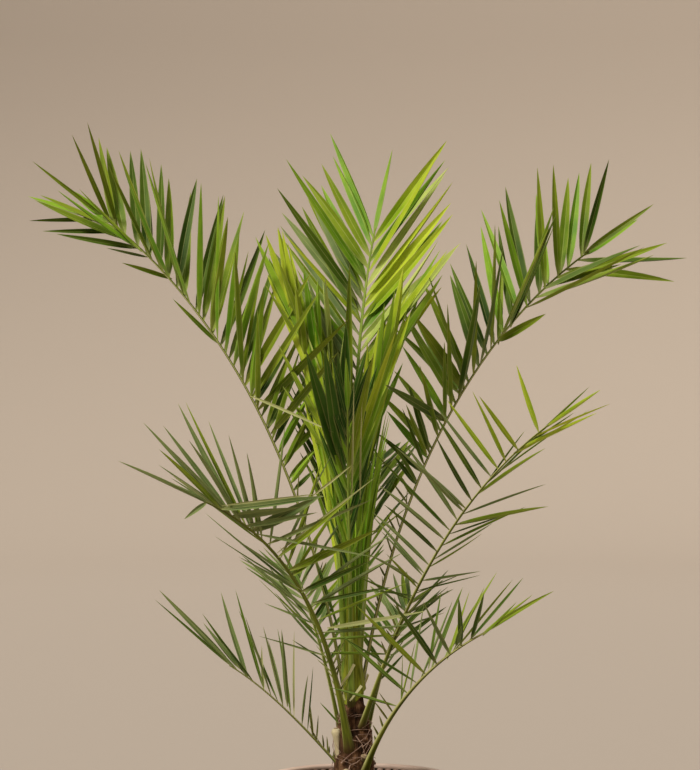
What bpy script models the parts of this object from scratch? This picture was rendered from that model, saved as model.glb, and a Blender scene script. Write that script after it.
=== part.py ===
"""A young canary island date palm in a round pot.

Metres, +Z up.  The origin is on the ground, under the middle of the pot.
The plant has a short swollen trunk, fifteen feather fronds that rise from it, and the soil
and pot that it stands in.  Every frond grows by one rule: a bending rib with two rows of
leaflets, each leaflet a folded blade.  A leaflet that would touch another part is turned a
little, and left out where no turn clears it.
"""
import math
import random

import bmesh
import bpy
from mathutils import Matrix, Vector
from mathutils.bvhtree import BVHTree

GAP = 0.0003

POT_HEIGHT = 0.280
POT_RIM_RADIUS = 0.160
POT_FOOT_RADIUS = 0.120
POT_WALL = 0.007
POT_FLOOR = 0.010
POT_CHAMFER = 0.004
RIM_HEIGHT = 0.020
RIM_OVERHANG = 0.006
POT_STEPS = 48

SOIL_TOP = 0.250

TRUNK_X = -0.009
TRUNK_Y = 0.0
TRUNK_FOOT_RADIUS = 0.038
TRUNK_RADIUS = 0.030
TRUNK_TIP_RADIUS = 0.0145
TRUNK_TIP = 0.430
TRUNK_STEPS = 24
TRUNK_CROWN_SHARE = 0.7
# (share of the height below the tip, share of the way from the tip's radius to the belly's)
TRUNK_SHOULDERS = ((0.04, 0.0), (0.20, 0.28), (0.36, 0.66), (0.52, 0.92), (0.78, 1.0))
# the same for the flare below the belly, on the way to the foot's radius
TRUNK_FLARE = (0.91, 0.3)

STUB_COUNT = 9
STUB_LENGTH = 0.024
STUB_RADIUS = 0.0075
STUB_TIP_SHARE = 0.55
STUB_FLATNESS = 0.6
STUB_DEPTH = 0.92
STUB_LEAN = (38, 50)
STUB_WOBBLE = 12
STUB_RISE = (0.022, 0.085)
STUB_SEED = 5
TURN_OF_GROWTH = 137.5

RIB_STEPS = 28
RIB_TWIST_POWER = 4
RIB_SPACING = 2
RIB_TIP_SHARE = 0.34
RIB_FLARE_REACH = 0.10
RIB_UNIT = 0.001

LEAFLET_RISE = 0.45
LEAFLET_FALL = 0.60
LEAFLET_STATIONS = (0.0, 0.09, 0.40, 1.0)
LEAFLET_SHARES = (0.0, 0.55, 1.0, 0.0)
LEAFLET_FOLD = 0.30
LEAFLET_STAGGER = 0.25
LEAFLET_STRAY = 0.22
LEAFLET_TWIST = 30
LEAFLET_LENGTHS = (0.88, 1.06)
LEAFLET_WIDTHS = (0.85, 1.10)
LOW_WIDTH = 0.55
FULL_WIDTH_PLACE = 0.4
LAST_LEAFLET = 0.985
LAST_WIDTH = 0.8
LEAFLET_CLEARANCE = 0.0008
LEAFLET_TURNS = (0, 9, -9, 18, -18, 28, -28)

SMOOTH_BELOW = math.radians(35)

# Each frond: the foot is measured from the trunk's axis, angles are in degrees, and a pair
# of values runs from the foot (or the lowest leaflet) to the tip.
#   azimuth, lean    where the rib points, and how far it leans from upright
#   curl             how late along the rib the lean sets in
#   roll             turn of the blade about its rib
#   bare             share of the rib below the lowest leaflet
#   spread, lift     angle of a leaflet from the rib, and its rise above the blade's plane
#   far_spread       spread of the leaflets on the rib's other side, where it differs
#   knee             place along the blade where the spread reaches its last value
#   size, low, top   longest leaflet, and the share of it at the lowest pair and at the tip
#   end, width       share of size for the one leaflet at the rib's tip, and the leaflets' width
#   up               how much the leaflets turn towards the sky
#   keep             share of the leaflets that are there, on each side
#   stem, flare      half the rib's thickness, and how much it thickens at its foot
USUAL = dict(
    curl=1.5, roll=(0, 0), bare=0.40, spread=(60, 40), lift=(20, 12), far_spread=None,
    knee=1.0, low=0.5, top=0.72, end=0.65, up=0.0, width=0.012, stem=0.0034, keep=(1.0, 1.0),
    flare=0.55, jitter=6,
)
FRONDS = {
    "frond_upper_left": dict(
        foot=(-0.0085, 0.0080, 0.385), azimuth=(160, 150), lean=(10, 58), curl=1.3, length=0.870,
        roll=(20, -62), bare=0.37, pairs=22, spread=(66, 30), lift=(60, 12),
        size=0.232, low=0.2, top=0.60, end=0.42, up=0.08, width=0.0160, stem=0.0040, seed=11),
    "frond_upper_right": dict(
        foot=(0.0055, 0.0105, 0.385), azimuth=(30, 27), lean=(11, 59), curl=1.3, length=0.815,
        roll=(-20, 75), bare=0.39, pairs=21, spread=(64, 42), lift=(60, 12),
        size=0.215, low=0.2, top=0.74, end=0.55, width=0.0155, stem=0.0040, seed=22),
    "frond_middle_left": dict(
        foot=(-0.006, -0.024, 0.330), azimuth=(220, 205), lean=(12, 68), curl=1.6, length=0.450,
        roll=(40, 30), bare=0.30, pairs=17, spread=(122, 2), far_spread=(48, 14), lift=(15, 30),
        size=0.175, low=0.5, top=0.82, end=0.4, up=0.12, width=0.0090, stem=0.0046,
        keep=(0.95, 0.4), jitter=8, seed=33),
    "frond_middle_right": dict(
        foot=(0.010, -0.018, 0.360), azimuth=(-30, -20), lean=(21, 55), curl=1.7, length=0.535,
        roll=(-30, -40), bare=0.35, pairs=18, spread=(75, 14), far_spread=(75, 70), lift=(20, 20),
        size=0.150, low=0.6, width=0.0090, keep=(0.8, 0.8), jitter=10, seed=44),
    "frond_lower_left": dict(
        foot=(0.000, -0.004, 0.283), azimuth=(190, 190), lean=(42, 59), curl=2.5, length=0.250,
        roll=(0, -20), bare=0.38, pairs=5, spread=(55, 10), lift=(45, 40),
        size=0.150, low=0.6, up=0.25, end=1.0, width=0.0100, jitter=10, seed=55),
    "frond_lower_right": dict(
        foot=(0.012, -0.022, 0.290), azimuth=(-50, -35), lean=(25, 64), curl=0.9, length=0.330,
        roll=(0, 20), bare=0.38, pairs=8, spread=(80, 12), far_spread=(115, 35), lift=(55, 35),
        size=0.145, low=0.75, up=0.15, end=0.9, width=0.0095, stem=0.0050, jitter=9, seed=66),
    "frond_centre": dict(
        foot=(-0.0020, 0.0075, 0.415), azimuth=(100, 45), lean=(0, 16), length=0.680,
        bare=0.44, pairs=22, spread=(13, 39), knee=0.5, lift=(5, 5),
        size=0.232, low=0.85, top=0.84, end=0.6, width=0.0145, stem=0.0048, flare=0.1, seed=77),
    "frond_young_left": dict(
        foot=(-0.0110, -0.0030, 0.412), azimuth=(192, 185), lean=(3, 21), curl=2.4, length=0.560,
        roll=(60, 60), bare=0.36, pairs=11, spread=(5, 8), lift=(0, 0), size=0.190, low=0.95,
        top=0.75, width=0.0175, stem=0.0047, flare=0.1, jitter=3, seed=88),
    "frond_young_right": dict(
        foot=(0.0080, -0.0025, 0.412), azimuth=(-10, -10), lean=(-3, 24), curl=2.0, length=0.500,
        roll=(-50, -50), bare=0.38, pairs=10, spread=(5, 10), lift=(0, 0), size=0.165, low=0.95,
        top=0.90, end=0.85, width=0.0165, stem=0.0046, flare=0.1, jitter=3, seed=99),
    "spear_leaf": dict(
        foot=(-0.0014, -0.0060, 0.415), azimuth=(185, 185), lean=(2.5, 5), curl=1.2, length=0.450,
        bare=0.45, pairs=5, spread=(5, 5), lift=(0, 0), size=0.200, low=0.95, top=0.85,
        width=0.013, stem=0.0038, flare=0.1, jitter=2, seed=110),
    "frond_front": dict(
        foot=(-0.0035, -0.0150, 0.395), azimuth=(-96, -90), lean=(5, 42), curl=1.6, length=0.460,
        bare=0.42, pairs=11, spread=(18, 15), lift=(10, 10), size=0.150, low=0.6, top=0.8,
        up=0.1, jitter=5, seed=121),
    "frond_back_left": dict(
        foot=(-0.0085, 0.0180, 0.375), azimuth=(110, 92), lean=(9, 60), length=0.560,
        bare=0.44, pairs=16, spread=(34, 16), lift=(40, 20), size=0.150, low=0.4, seed=132),
    "frond_back_right": dict(
        foot=(0.005, 0.0185, 0.375), azimuth=(78, 86), lean=(16, 84), length=0.520,
        bare=0.42, pairs=14, spread=(48, 22), lift=(45, 20), size=0.120, low=0.4, seed=143),
    "frond_low_back_left": dict(
        foot=(-0.014, 0.018, 0.320), azimuth=(118, 104), lean=(24, 80), length=0.360,
        bare=0.36, pairs=11, spread=(60, 24), lift=(35, 20), size=0.120, low=0.5, width=0.0105,
        keep=(0.85, 0.85), jitter=10, seed=154),
    "frond_low_back_right": dict(
        foot=(0.012, 0.020, 0.310), azimuth=(66, 72), lean=(28, 82), length=0.330,
        bare=0.36, pairs=10, spread=(60, 24), lift=(35, 20), size=0.115, low=0.5, width=0.0105,
        keep=(0.85, 0.85), jitter=10, seed=165),
}
YOUNG_FRONDS = ("frond_centre", "frond_young_left", "frond_young_right", "spear_leaf")


def mix(start, end, share):
    return start + (end - start) * share


def clear_scene():
    for item in list(bpy.data.objects):
        bpy.data.objects.remove(item, do_unlink=True)


def make_collection(name):
    group = bpy.data.collections.new(name)
    bpy.context.scene.collection.children.link(group)
    return group


def make_material(name, colour, roughness):
    material = bpy.data.materials.new(name)
    material.use_nodes = True
    shader = material.node_tree.nodes["Principled BSDF"]
    shader.inputs["Base Color"].default_value = (*colour, 1.0)
    shader.inputs["Roughness"].default_value = roughness
    shader.inputs["Metallic"].default_value = 0.0
    return material


def make_object(name, mesh, group, material=None):
    item = bpy.data.objects.new(name, mesh)
    group.objects.link(item)
    if material is not None:
        item.data.materials.append(material)
    return item


def evaluated_mesh(item):
    depsgraph = bpy.context.evaluated_depsgraph_get()
    return bpy.data.meshes.new_from_object(item.evaluated_get(depsgraph))


# ------------------------------------------------------------------ turned pieces

def turned(name, profile, steps, group, material=None):
    """A profile of (radius, height) points, from the top down its outer side, turned about Z."""
    outline = bpy.data.meshes.new(name)
    points = [(radius, 0.0, height) for radius, height in profile]
    outline.from_pydata(points, [(i, i + 1) for i in range(len(points) - 1)], [])
    item = make_object(name, outline, group, material)
    screw = item.modifiers.new("turn", "SCREW")
    screw.steps = steps
    screw.render_steps = steps
    screw.use_merge_vertices = True
    screw.merge_threshold = 0.00005
    mesh = evaluated_mesh(item)
    mesh.shade_smooth()
    mesh.set_sharp_from_angle(angle=SMOOTH_BELOW)
    item.modifiers.clear()
    item.data = mesh
    bpy.data.meshes.remove(outline)
    return item


def pot_radius(height):
    """Outer radius of the tapered wall, without the rim."""
    return mix(POT_FOOT_RADIUS, POT_RIM_RADIUS - RIM_OVERHANG, height / POT_HEIGHT)


def build_pot(group, material):
    inner_top = pot_radius(POT_HEIGHT) - POT_WALL
    inner_foot = pot_radius(POT_FLOOR) - POT_WALL
    rim_foot = POT_HEIGHT - RIM_HEIGHT
    return turned("pot", [
        (0.0, POT_FLOOR),
        (inner_foot, POT_FLOOR),
        (inner_top, POT_HEIGHT - POT_CHAMFER / 2),
        (inner_top + POT_CHAMFER / 2, POT_HEIGHT),
        (POT_RIM_RADIUS - POT_CHAMFER, POT_HEIGHT),
        (POT_RIM_RADIUS, POT_HEIGHT - POT_CHAMFER),
        (POT_RIM_RADIUS, rim_foot + POT_CHAMFER / 2),
        (POT_RIM_RADIUS - POT_CHAMFER / 2, rim_foot),
        (pot_radius(rim_foot), rim_foot),
        (pot_radius(POT_CHAMFER), POT_CHAMFER),
        (POT_FOOT_RADIUS - POT_CHAMFER, 0.0),
        (0.0, 0.0),
    ], POT_STEPS, group, material)


def build_soil(group, material):
    foot = POT_FLOOR + GAP
    return turned("soil", [
        (0.0, SOIL_TOP),
        (pot_radius(SOIL_TOP) - POT_WALL - GAP * 2, SOIL_TOP),
        (pot_radius(foot) - POT_WALL - GAP * 2, foot),
        (0.0, foot),
    ], POT_STEPS, group, material)


def trunk_profile(margin=0.0):
    """The swollen base, from the middle of its tip to the middle of its foot."""
    foot = SOIL_TOP + GAP
    height = TRUNK_TIP - foot
    crown = [
        (0.0, TRUNK_TIP + margin),
        (TRUNK_TIP_RADIUS * TRUNK_CROWN_SHARE + margin, TRUNK_TIP + margin),
    ]
    shoulders = [
        (mix(TRUNK_TIP_RADIUS, TRUNK_RADIUS, swell) + margin, TRUNK_TIP - height * share)
        for share, swell in TRUNK_SHOULDERS
    ]
    share, swell = TRUNK_FLARE
    flare = [
        (mix(TRUNK_RADIUS, TRUNK_FOOT_RADIUS, swell) + margin, TRUNK_TIP - height * share),
        (TRUNK_FOOT_RADIUS + margin, foot + GAP),
        (TRUNK_FOOT_RADIUS + margin, foot),
        (0.0, foot),
    ]
    return crown + shoulders + flare


def build_stub(index, draw, group):
    """The cut base of an old leaf: a short cone whose root is deep in the trunk."""
    angle = math.radians(index * TURN_OF_GROWTH + draw.uniform(-STUB_WOBBLE, STUB_WOBBLE))
    height = SOIL_TOP + mix(*STUB_RISE, index / (STUB_COUNT - 1))
    mesh = bpy.data.meshes.new("stub")
    shape = bmesh.new()
    bmesh.ops.create_cone(shape, cap_ends=True, segments=6, radius1=STUB_RADIUS,
                          radius2=STUB_RADIUS * STUB_TIP_SHARE, depth=STUB_LENGTH)
    shape.to_mesh(mesh)
    shape.free()
    lean = Matrix.Rotation(math.radians(draw.uniform(*STUB_LEAN)), 4, "Y")
    flat = Matrix.Diagonal((STUB_FLATNESS, 1.0, 1.0, 1.0))
    out = Matrix.Translation((TRUNK_RADIUS * STUB_DEPTH, 0.0, 0.0))
    turn = Matrix.Rotation(angle, 4, "Z")
    axis = Matrix.Translation((TRUNK_X, TRUNK_Y, height))
    mesh.transform(axis @ turn @ out @ lean @ flat)
    return make_object("stub", mesh, group)


def build_trunk(group, pieces, material, rib_trees):
    """The swollen base, with the stubs of old leaves that stand clear of every petiole."""
    trunk = turned("trunk", trunk_profile(), TRUNK_STEPS, group, material)
    trunk.location = (TRUNK_X, TRUNK_Y, 0.0)
    draw = random.Random(STUB_SEED)
    stubs = []
    for index in range(STUB_COUNT):
        stub = build_stub(index, draw, pieces)
        stub_tree = world_tree(stub)
        if any(stub_tree.overlap(rib_tree) for rib_tree in rib_trees):
            bpy.data.objects.remove(stub, do_unlink=True)
        else:
            stubs.append(stub)
    fuse(trunk, stubs)
    return trunk


def build_trunk_cutter(group):
    """The trunk with the clearance round it, which cuts every petiole to fit its seat."""
    cutter = turned("trunk_cutter", trunk_profile(GAP), TRUNK_STEPS, group)
    cutter.location = (TRUNK_X, TRUNK_Y, 0.0)
    cutter.display_type = "WIRE"
    cutter.hide_render = True
    return cutter


# ------------------------------------------------------------------ the growth rule

def rib_stations(frond):
    """(point, tangent, side, face) along the rib, from its foot to its tip."""
    foot_x, foot_y, foot_z = frond["foot"]
    point = Vector((TRUNK_X + foot_x, TRUNK_Y + foot_y, foot_z))
    step = frond["length"] / RIB_STEPS
    stations = []
    for i in range(RIB_STEPS + 1):
        share = i / RIB_STEPS
        azimuth = math.radians(mix(*frond["azimuth"], share))
        lean = math.radians(mix(*frond["lean"], share ** frond["curl"]))
        outward = Vector((math.cos(azimuth), math.sin(azimuth), 0.0))
        tangent = outward * math.sin(lean) + Vector((0.0, 0.0, math.cos(lean)))
        side = Vector((-outward.y, outward.x, 0.0))
        roll = math.radians(mix(*frond["roll"], share ** RIB_TWIST_POWER))
        side = Matrix.Rotation(roll, 3, tangent) @ side
        stations.append((point.copy(), tangent, side, tangent.cross(side)))
        point += tangent * step
    return stations


def station_at(stations, share):
    place = min(max(share, 0.0), 1.0) * RIB_STEPS
    index = min(int(place), RIB_STEPS - 1)
    rest = place - index
    low, high = stations[index], stations[index + 1]
    point = low[0].lerp(high[0], rest)
    return point, *(low[k].lerp(high[k], rest).normalized() for k in (1, 2, 3))


def rib_radius(frond, share):
    """Thick where the petiole clasps the trunk, then a steady taper to the tip."""
    taper = mix(1.0, RIB_TIP_SHARE, share)
    flare = 1.0 + frond["flare"] * math.exp(-share / RIB_FLARE_REACH)
    return frond["stem"] * taper * flare


def leaflet_share(frond, place):
    """Length of a leaflet as a share of the longest one, by its place along the blade."""
    rise = mix(frond["low"], 1.0, math.sin(min(1.0, place / LEAFLET_RISE) * math.pi / 2))
    fall = mix(1.0, frond["top"], max(0.0, (place - LEAFLET_FALL) / (1.0 - LEAFLET_FALL)))
    return rise * fall


def leaflet_axes(direction, tangent, face, twist):
    """Across and face directions of a leaflet that points along direction."""
    across = tangent - direction * tangent.dot(direction)
    if across.length < 0.1:
        across = face.cross(direction)
    across = Matrix.Rotation(twist, 3, direction) @ across.normalized()
    normal = direction.cross(across)
    if normal.dot(face) < 0.0:
        normal = -normal
    return across, normal


def leaflet_places(frond, stations):
    """Every leaflet of a frond: its root, several directions to try, its axes and its size."""
    draw = random.Random(frond["seed"])
    places = []
    for index in range(frond["pairs"]):
        for side, keep in zip((1, -1), frond["keep"]):
            stray = draw.uniform(-LEAFLET_STRAY, LEAFLET_STRAY)
            place = (index + 0.5 + LEAFLET_STAGGER * side + stray) / frond["pairs"]
            point, tangent, across, face = station_at(stations, mix(frond["bare"], LAST_LEAFLET, place))
            spread = frond["far_spread"] if side < 0 and frond["far_spread"] else frond["spread"]
            away = mix(*spread, min(1.0, place / frond["knee"])) + draw.uniform(-1, 1) * frond["jitter"]
            away = math.radians(away)
            lift = mix(*frond["lift"], place) + draw.uniform(-2, 2) * frond["jitter"]
            twist = math.radians(draw.uniform(-LEAFLET_TWIST, LEAFLET_TWIST))
            length = frond["size"] * leaflet_share(frond, place) * draw.uniform(*LEAFLET_LENGTHS)
            broad = mix(LOW_WIDTH, 1.0, min(1.0, place / FULL_WIDTH_PLACE))
            width = frond["width"] * broad * draw.uniform(*LEAFLET_WIDTHS)
            if draw.random() > keep:
                continue
            tries = []
            for turn in LEAFLET_TURNS:
                rise = math.radians(lift + turn)
                sideways = across * (side * math.cos(rise)) + face * math.sin(rise)
                direction = tangent * math.cos(away) + sideways * math.sin(away)
                direction.z += frond["up"]
                direction.normalize()
                tries.append((direction, *leaflet_axes(direction, tangent, face, twist)))
            places.append((point, tries, length, width))
    point, tangent, across, face = station_at(stations, LAST_LEAFLET)
    direction = (tangent + Vector((0.0, 0.0, frond["up"]))).normalized()
    last = (direction, *leaflet_axes(direction, tangent, face, 0.0))
    places.append((point, [last], frond["size"] * frond["end"], frond["width"] * LAST_WIDTH))
    return places


def leaflet_blank():
    """A three-sided spindle: (station, across, keel) of each corner, and its faces."""
    shape = bmesh.new()
    bmesh.ops.create_uvsphere(shape, u_segments=3, v_segments=3, radius=1.0)
    bmesh.ops.triangulate(shape, faces=shape.faces[:])
    levels = sorted({round(vert.co.z, 3) for vert in shape.verts})
    ring = math.sin(math.pi / 3)
    corners = []
    for vert in shape.verts:
        level = levels.index(round(vert.co.z, 3))
        keel = (vert.co.x / ring + 0.5) / 1.5
        corners.append((level, vert.co.y / ring, keel))
    faces = [tuple(vert.index for vert in face.verts) for face in shape.faces]
    shape.free()
    return corners, faces


def leaflet_points(blank, point, axes, length, width, extra=0.0):
    """The spindle's corners in place, grown by extra all round for a clearance test."""
    direction, across, normal = axes
    points = []
    for level, sideways, keel in blank[0]:
        share = LEAFLET_SHARES[level]
        half = (width / 2 + extra) * share
        deep = (width * LEAFLET_FOLD + extra * 2) * share
        along = length * LEAFLET_STATIONS[level]
        points.append(point + direction * along + across * (sideways * half)
                      + normal * (extra * share - keel * deep))
    return points


def grow_leaflets(frond, stations, blank, taken):
    """The leaflets that find a clear place, as lists of corners."""
    grown = []
    for point, tries, length, width in leaflet_places(frond, stations):
        for axes in tries:
            fat = leaflet_points(blank, point, axes, length, width, LEAFLET_CLEARANCE)
            tree = BVHTree.FromPolygons(fat, blank[1])
            if not any(tree.overlap(other) for other in taken):
                grown.append(leaflet_points(blank, point, axes, length, width))
                break
    return grown


# ------------------------------------------------------------------ solids

def islands(shape):
    """The mesh's connected shells, as lists of faces."""
    left = set(shape.faces)
    shells = []
    while left:
        front = [left.pop()]
        shell = []
        while front:
            face = front.pop()
            shell.append(face)
            near = {other for edge in face.edges for other in edge.link_faces} & left
            left -= near
            front += near
        shells.append(shell)
    return shells


def keep_outer_shell(mesh):
    """Fills the hollows that leaflets seal between them, and drops loose scraps."""
    shape = bmesh.new()
    shape.from_mesh(mesh)
    shells = sorted(islands(shape), key=len)
    inner = [face for shell in shells[:-1] for face in shell]
    bmesh.ops.delete(shape, geom=inner, context="FACES")
    shape.to_mesh(mesh)
    shape.free()


def fuse(item, pieces):
    """Joins the pieces to item with one Boolean union, and removes them."""
    bpy.context.view_layer.update()
    group = bpy.data.collections.new(item.name + "_pieces")
    bpy.context.scene.collection.children.link(group)
    for piece in pieces:
        group.objects.link(piece)
    union = item.modifiers.new("union", "BOOLEAN")
    union.operation = "UNION"
    union.operand_type = "COLLECTION"
    union.collection = group
    union.solver = "EXACT"
    mesh = evaluated_mesh(item)
    keep_outer_shell(mesh)
    item.modifiers.clear()
    item.data = mesh
    for piece in pieces:
        bpy.data.objects.remove(piece, do_unlink=True)
    bpy.data.collections.remove(group)


def build_rib(name, frond, stations, group, material):
    """The petiole and rib: a tapering rod along the stations, as a closed mesh."""
    curve = bpy.data.curves.new(name, "CURVE")
    curve.dimensions = "3D"
    curve.bevel_depth = RIB_UNIT
    curve.bevel_resolution = 0
    curve.use_fill_caps = True
    picked = range(0, RIB_STEPS + 1, RIB_SPACING)
    spline = curve.splines.new("POLY")
    spline.points.add(len(picked) - 1)
    for spot, index in zip(spline.points, picked):
        spot.co = (*stations[index][0], 1.0)
        spot.radius = rib_radius(frond, index / RIB_STEPS) / RIB_UNIT
    rod = bpy.data.objects.new(name + "_rod", curve)
    group.objects.link(rod)
    mesh = evaluated_mesh(rod)
    bpy.data.objects.remove(rod, do_unlink=True)
    shape = bmesh.new()
    shape.from_mesh(mesh)
    bmesh.ops.remove_doubles(shape, verts=shape.verts[:], dist=0.00001)
    bmesh.ops.recalc_face_normals(shape, faces=shape.faces[:])
    shape.to_mesh(mesh)
    shape.free()
    mesh.materials.clear()
    return make_object(name, mesh, group, material)


def world_tree(item):
    """A search tree of an object's evaluated mesh in world space."""
    bpy.context.view_layer.update()
    mesh = evaluated_mesh(item)
    mesh.transform(item.matrix_world)
    points = [vertex.co for vertex in mesh.vertices]
    faces = [tuple(polygon.vertices) for polygon in mesh.polygons]
    tree = BVHTree.FromPolygons(points, faces)
    bpy.data.meshes.remove(mesh)
    return tree


def add_leaflets(frond, stations, rib, blank, taken, pieces):
    """Fuses a frond's leaflets to its rib, and returns their search trees."""
    solids = []
    trees = []
    for points in grow_leaflets(frond, stations, blank, taken):
        mesh = bpy.data.meshes.new("leaflet")
        mesh.from_pydata(points, [], blank[1])
        solids.append(make_object("leaflet", mesh, pieces))
        trees.append(BVHTree.FromPolygons(points, blank[1]))
    fuse(rib, solids)
    return trees


def seat_on(rib, cutter):
    """Cuts the petiole's foot to the trunk's shape, with the clearance between them."""
    cut = rib.modifiers.new("seat", "BOOLEAN")
    cut.operation = "DIFFERENCE"
    cut.object = cutter
    cut.solver = "EXACT"


def main():
    clear_scene()
    palm = make_collection("canary_island_date_palm")
    cutters = make_collection("cutters")
    pieces = make_collection("pieces")
    pot_material = make_material("pot_cane", (0.42, 0.28, 0.20), 0.75)
    soil_material = make_material("potting_soil", (0.05, 0.035, 0.025), 0.95)
    trunk_material = make_material("trunk_fibre", (0.10, 0.055, 0.03), 0.9)
    leaf_material = make_material("leaf_green", (0.07, 0.15, 0.02), 0.5)
    young_material = make_material("leaf_young", (0.25, 0.40, 0.04), 0.45)

    fronds = {name: {**USUAL, **values} for name, values in FRONDS.items()}
    stations = {name: rib_stations(frond) for name, frond in fronds.items()}
    ribs = {}
    for name, frond in fronds.items():
        material = young_material if name in YOUNG_FRONDS else leaf_material
        ribs[name] = build_rib(name, frond, stations[name], palm, material)
    rib_trees = {name: world_tree(rib) for name, rib in ribs.items()}

    pot = build_pot(palm, pot_material)
    soil = build_soil(palm, soil_material)
    trunk = build_trunk(palm, pieces, trunk_material, rib_trees.values())
    cutter = build_trunk_cutter(cutters)

    blank = leaflet_blank()
    taken = [world_tree(item) for item in (pot, soil, trunk)]
    for name, frond in fronds.items():
        others = [tree for other, tree in rib_trees.items() if other != name]
        taken += add_leaflets(frond, stations[name], ribs[name], blank, taken + others, pieces)
        seat_on(ribs[name], cutter)
    bpy.data.collections.remove(pieces)


main()
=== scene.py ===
"""The looks of a young canary island date palm in a round cane planter.

Metres, +Z up.  The fronds grow by the same rule as the solids that they replace: a bending rib
with two rows of leaflets, each turned a little where it would touch another part.  Every
leaflet is then drawn as a fine folded blade, and the ribs, trunk, soil and planter get their
true surfaces.
"""
import math
import random

import bmesh
import bpy
import numpy as np
from mathutils import Matrix, Vector, noise
from mathutils.bvhtree import BVHTree


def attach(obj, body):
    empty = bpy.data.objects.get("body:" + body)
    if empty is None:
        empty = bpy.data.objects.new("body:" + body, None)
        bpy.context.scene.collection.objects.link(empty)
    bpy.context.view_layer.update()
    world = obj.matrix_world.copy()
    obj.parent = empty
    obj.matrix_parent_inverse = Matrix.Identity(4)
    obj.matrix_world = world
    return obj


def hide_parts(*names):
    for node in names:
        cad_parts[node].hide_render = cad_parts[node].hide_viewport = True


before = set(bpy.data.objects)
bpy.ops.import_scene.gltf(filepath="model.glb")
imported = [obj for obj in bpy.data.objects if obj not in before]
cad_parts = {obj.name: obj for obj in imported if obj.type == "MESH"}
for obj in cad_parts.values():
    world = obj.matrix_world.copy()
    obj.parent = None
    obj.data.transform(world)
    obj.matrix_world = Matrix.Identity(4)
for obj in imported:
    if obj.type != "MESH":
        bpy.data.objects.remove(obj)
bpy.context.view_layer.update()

# ------------------------------------------------------------------ sizes shared with the solids

POT_HEIGHT = 0.280
POT_RIM_RADIUS = 0.160
POT_FOOT_RADIUS = 0.120
POT_WALL = 0.007
RIM_HEIGHT = 0.020
RIM_OVERHANG = 0.006
SOIL_TOP = 0.250

TRUNK_X = -0.009
TRUNK_Y = 0.0
TRUNK_FOOT_RADIUS = 0.038
TRUNK_RADIUS = 0.030
TRUNK_TIP_RADIUS = 0.0145
TRUNK_TIP = 0.430
# (share of the way down from the tip, share of the swelling)
TRUNK_SHOULDERS = ((0.0, 0.0), (0.04, 0.0), (0.20, 0.28), (0.36, 0.66), (0.52, 0.92), (0.78, 1.0))
BARK_TOP = 0.424
BARK_GAP = 0.0003
BARK_INSET = 0.0042
TURN_OF_GROWTH = 137.5

RIB_STEPS = 28
RIB_TWIST_POWER = 4
RIB_SPACING = 2
RIB_TIP_SHARE = 0.34
RIB_FLARE_REACH = 0.10
RIB_UNIT = 0.001

LEAFLET_RISE = 0.45
LEAFLET_FALL = 0.60
# places along a leaflet of the solids, and its share of the width there
LEAFLET_STATIONS = (0.0, 0.09, 0.40, 1.0)
LEAFLET_SHARES = (0.0, 0.55, 1.0, 0.0)
LEAFLET_FOLD = 0.30
LEAFLET_STAGGER = 0.25
LEAFLET_STRAY = 0.22
LEAFLET_TWIST = 30
LEAFLET_LENGTHS = (0.88, 1.06)
LEAFLET_WIDTHS = (0.85, 1.10)
LOW_WIDTH = 0.55
FULL_WIDTH_PLACE = 0.4
LAST_LEAFLET = 0.985
LAST_WIDTH = 0.8
LEAFLET_CLEARANCE = 0.0008
LEAFLET_TURNS = (0, 9, -9, 18, -18, 28, -28)

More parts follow.
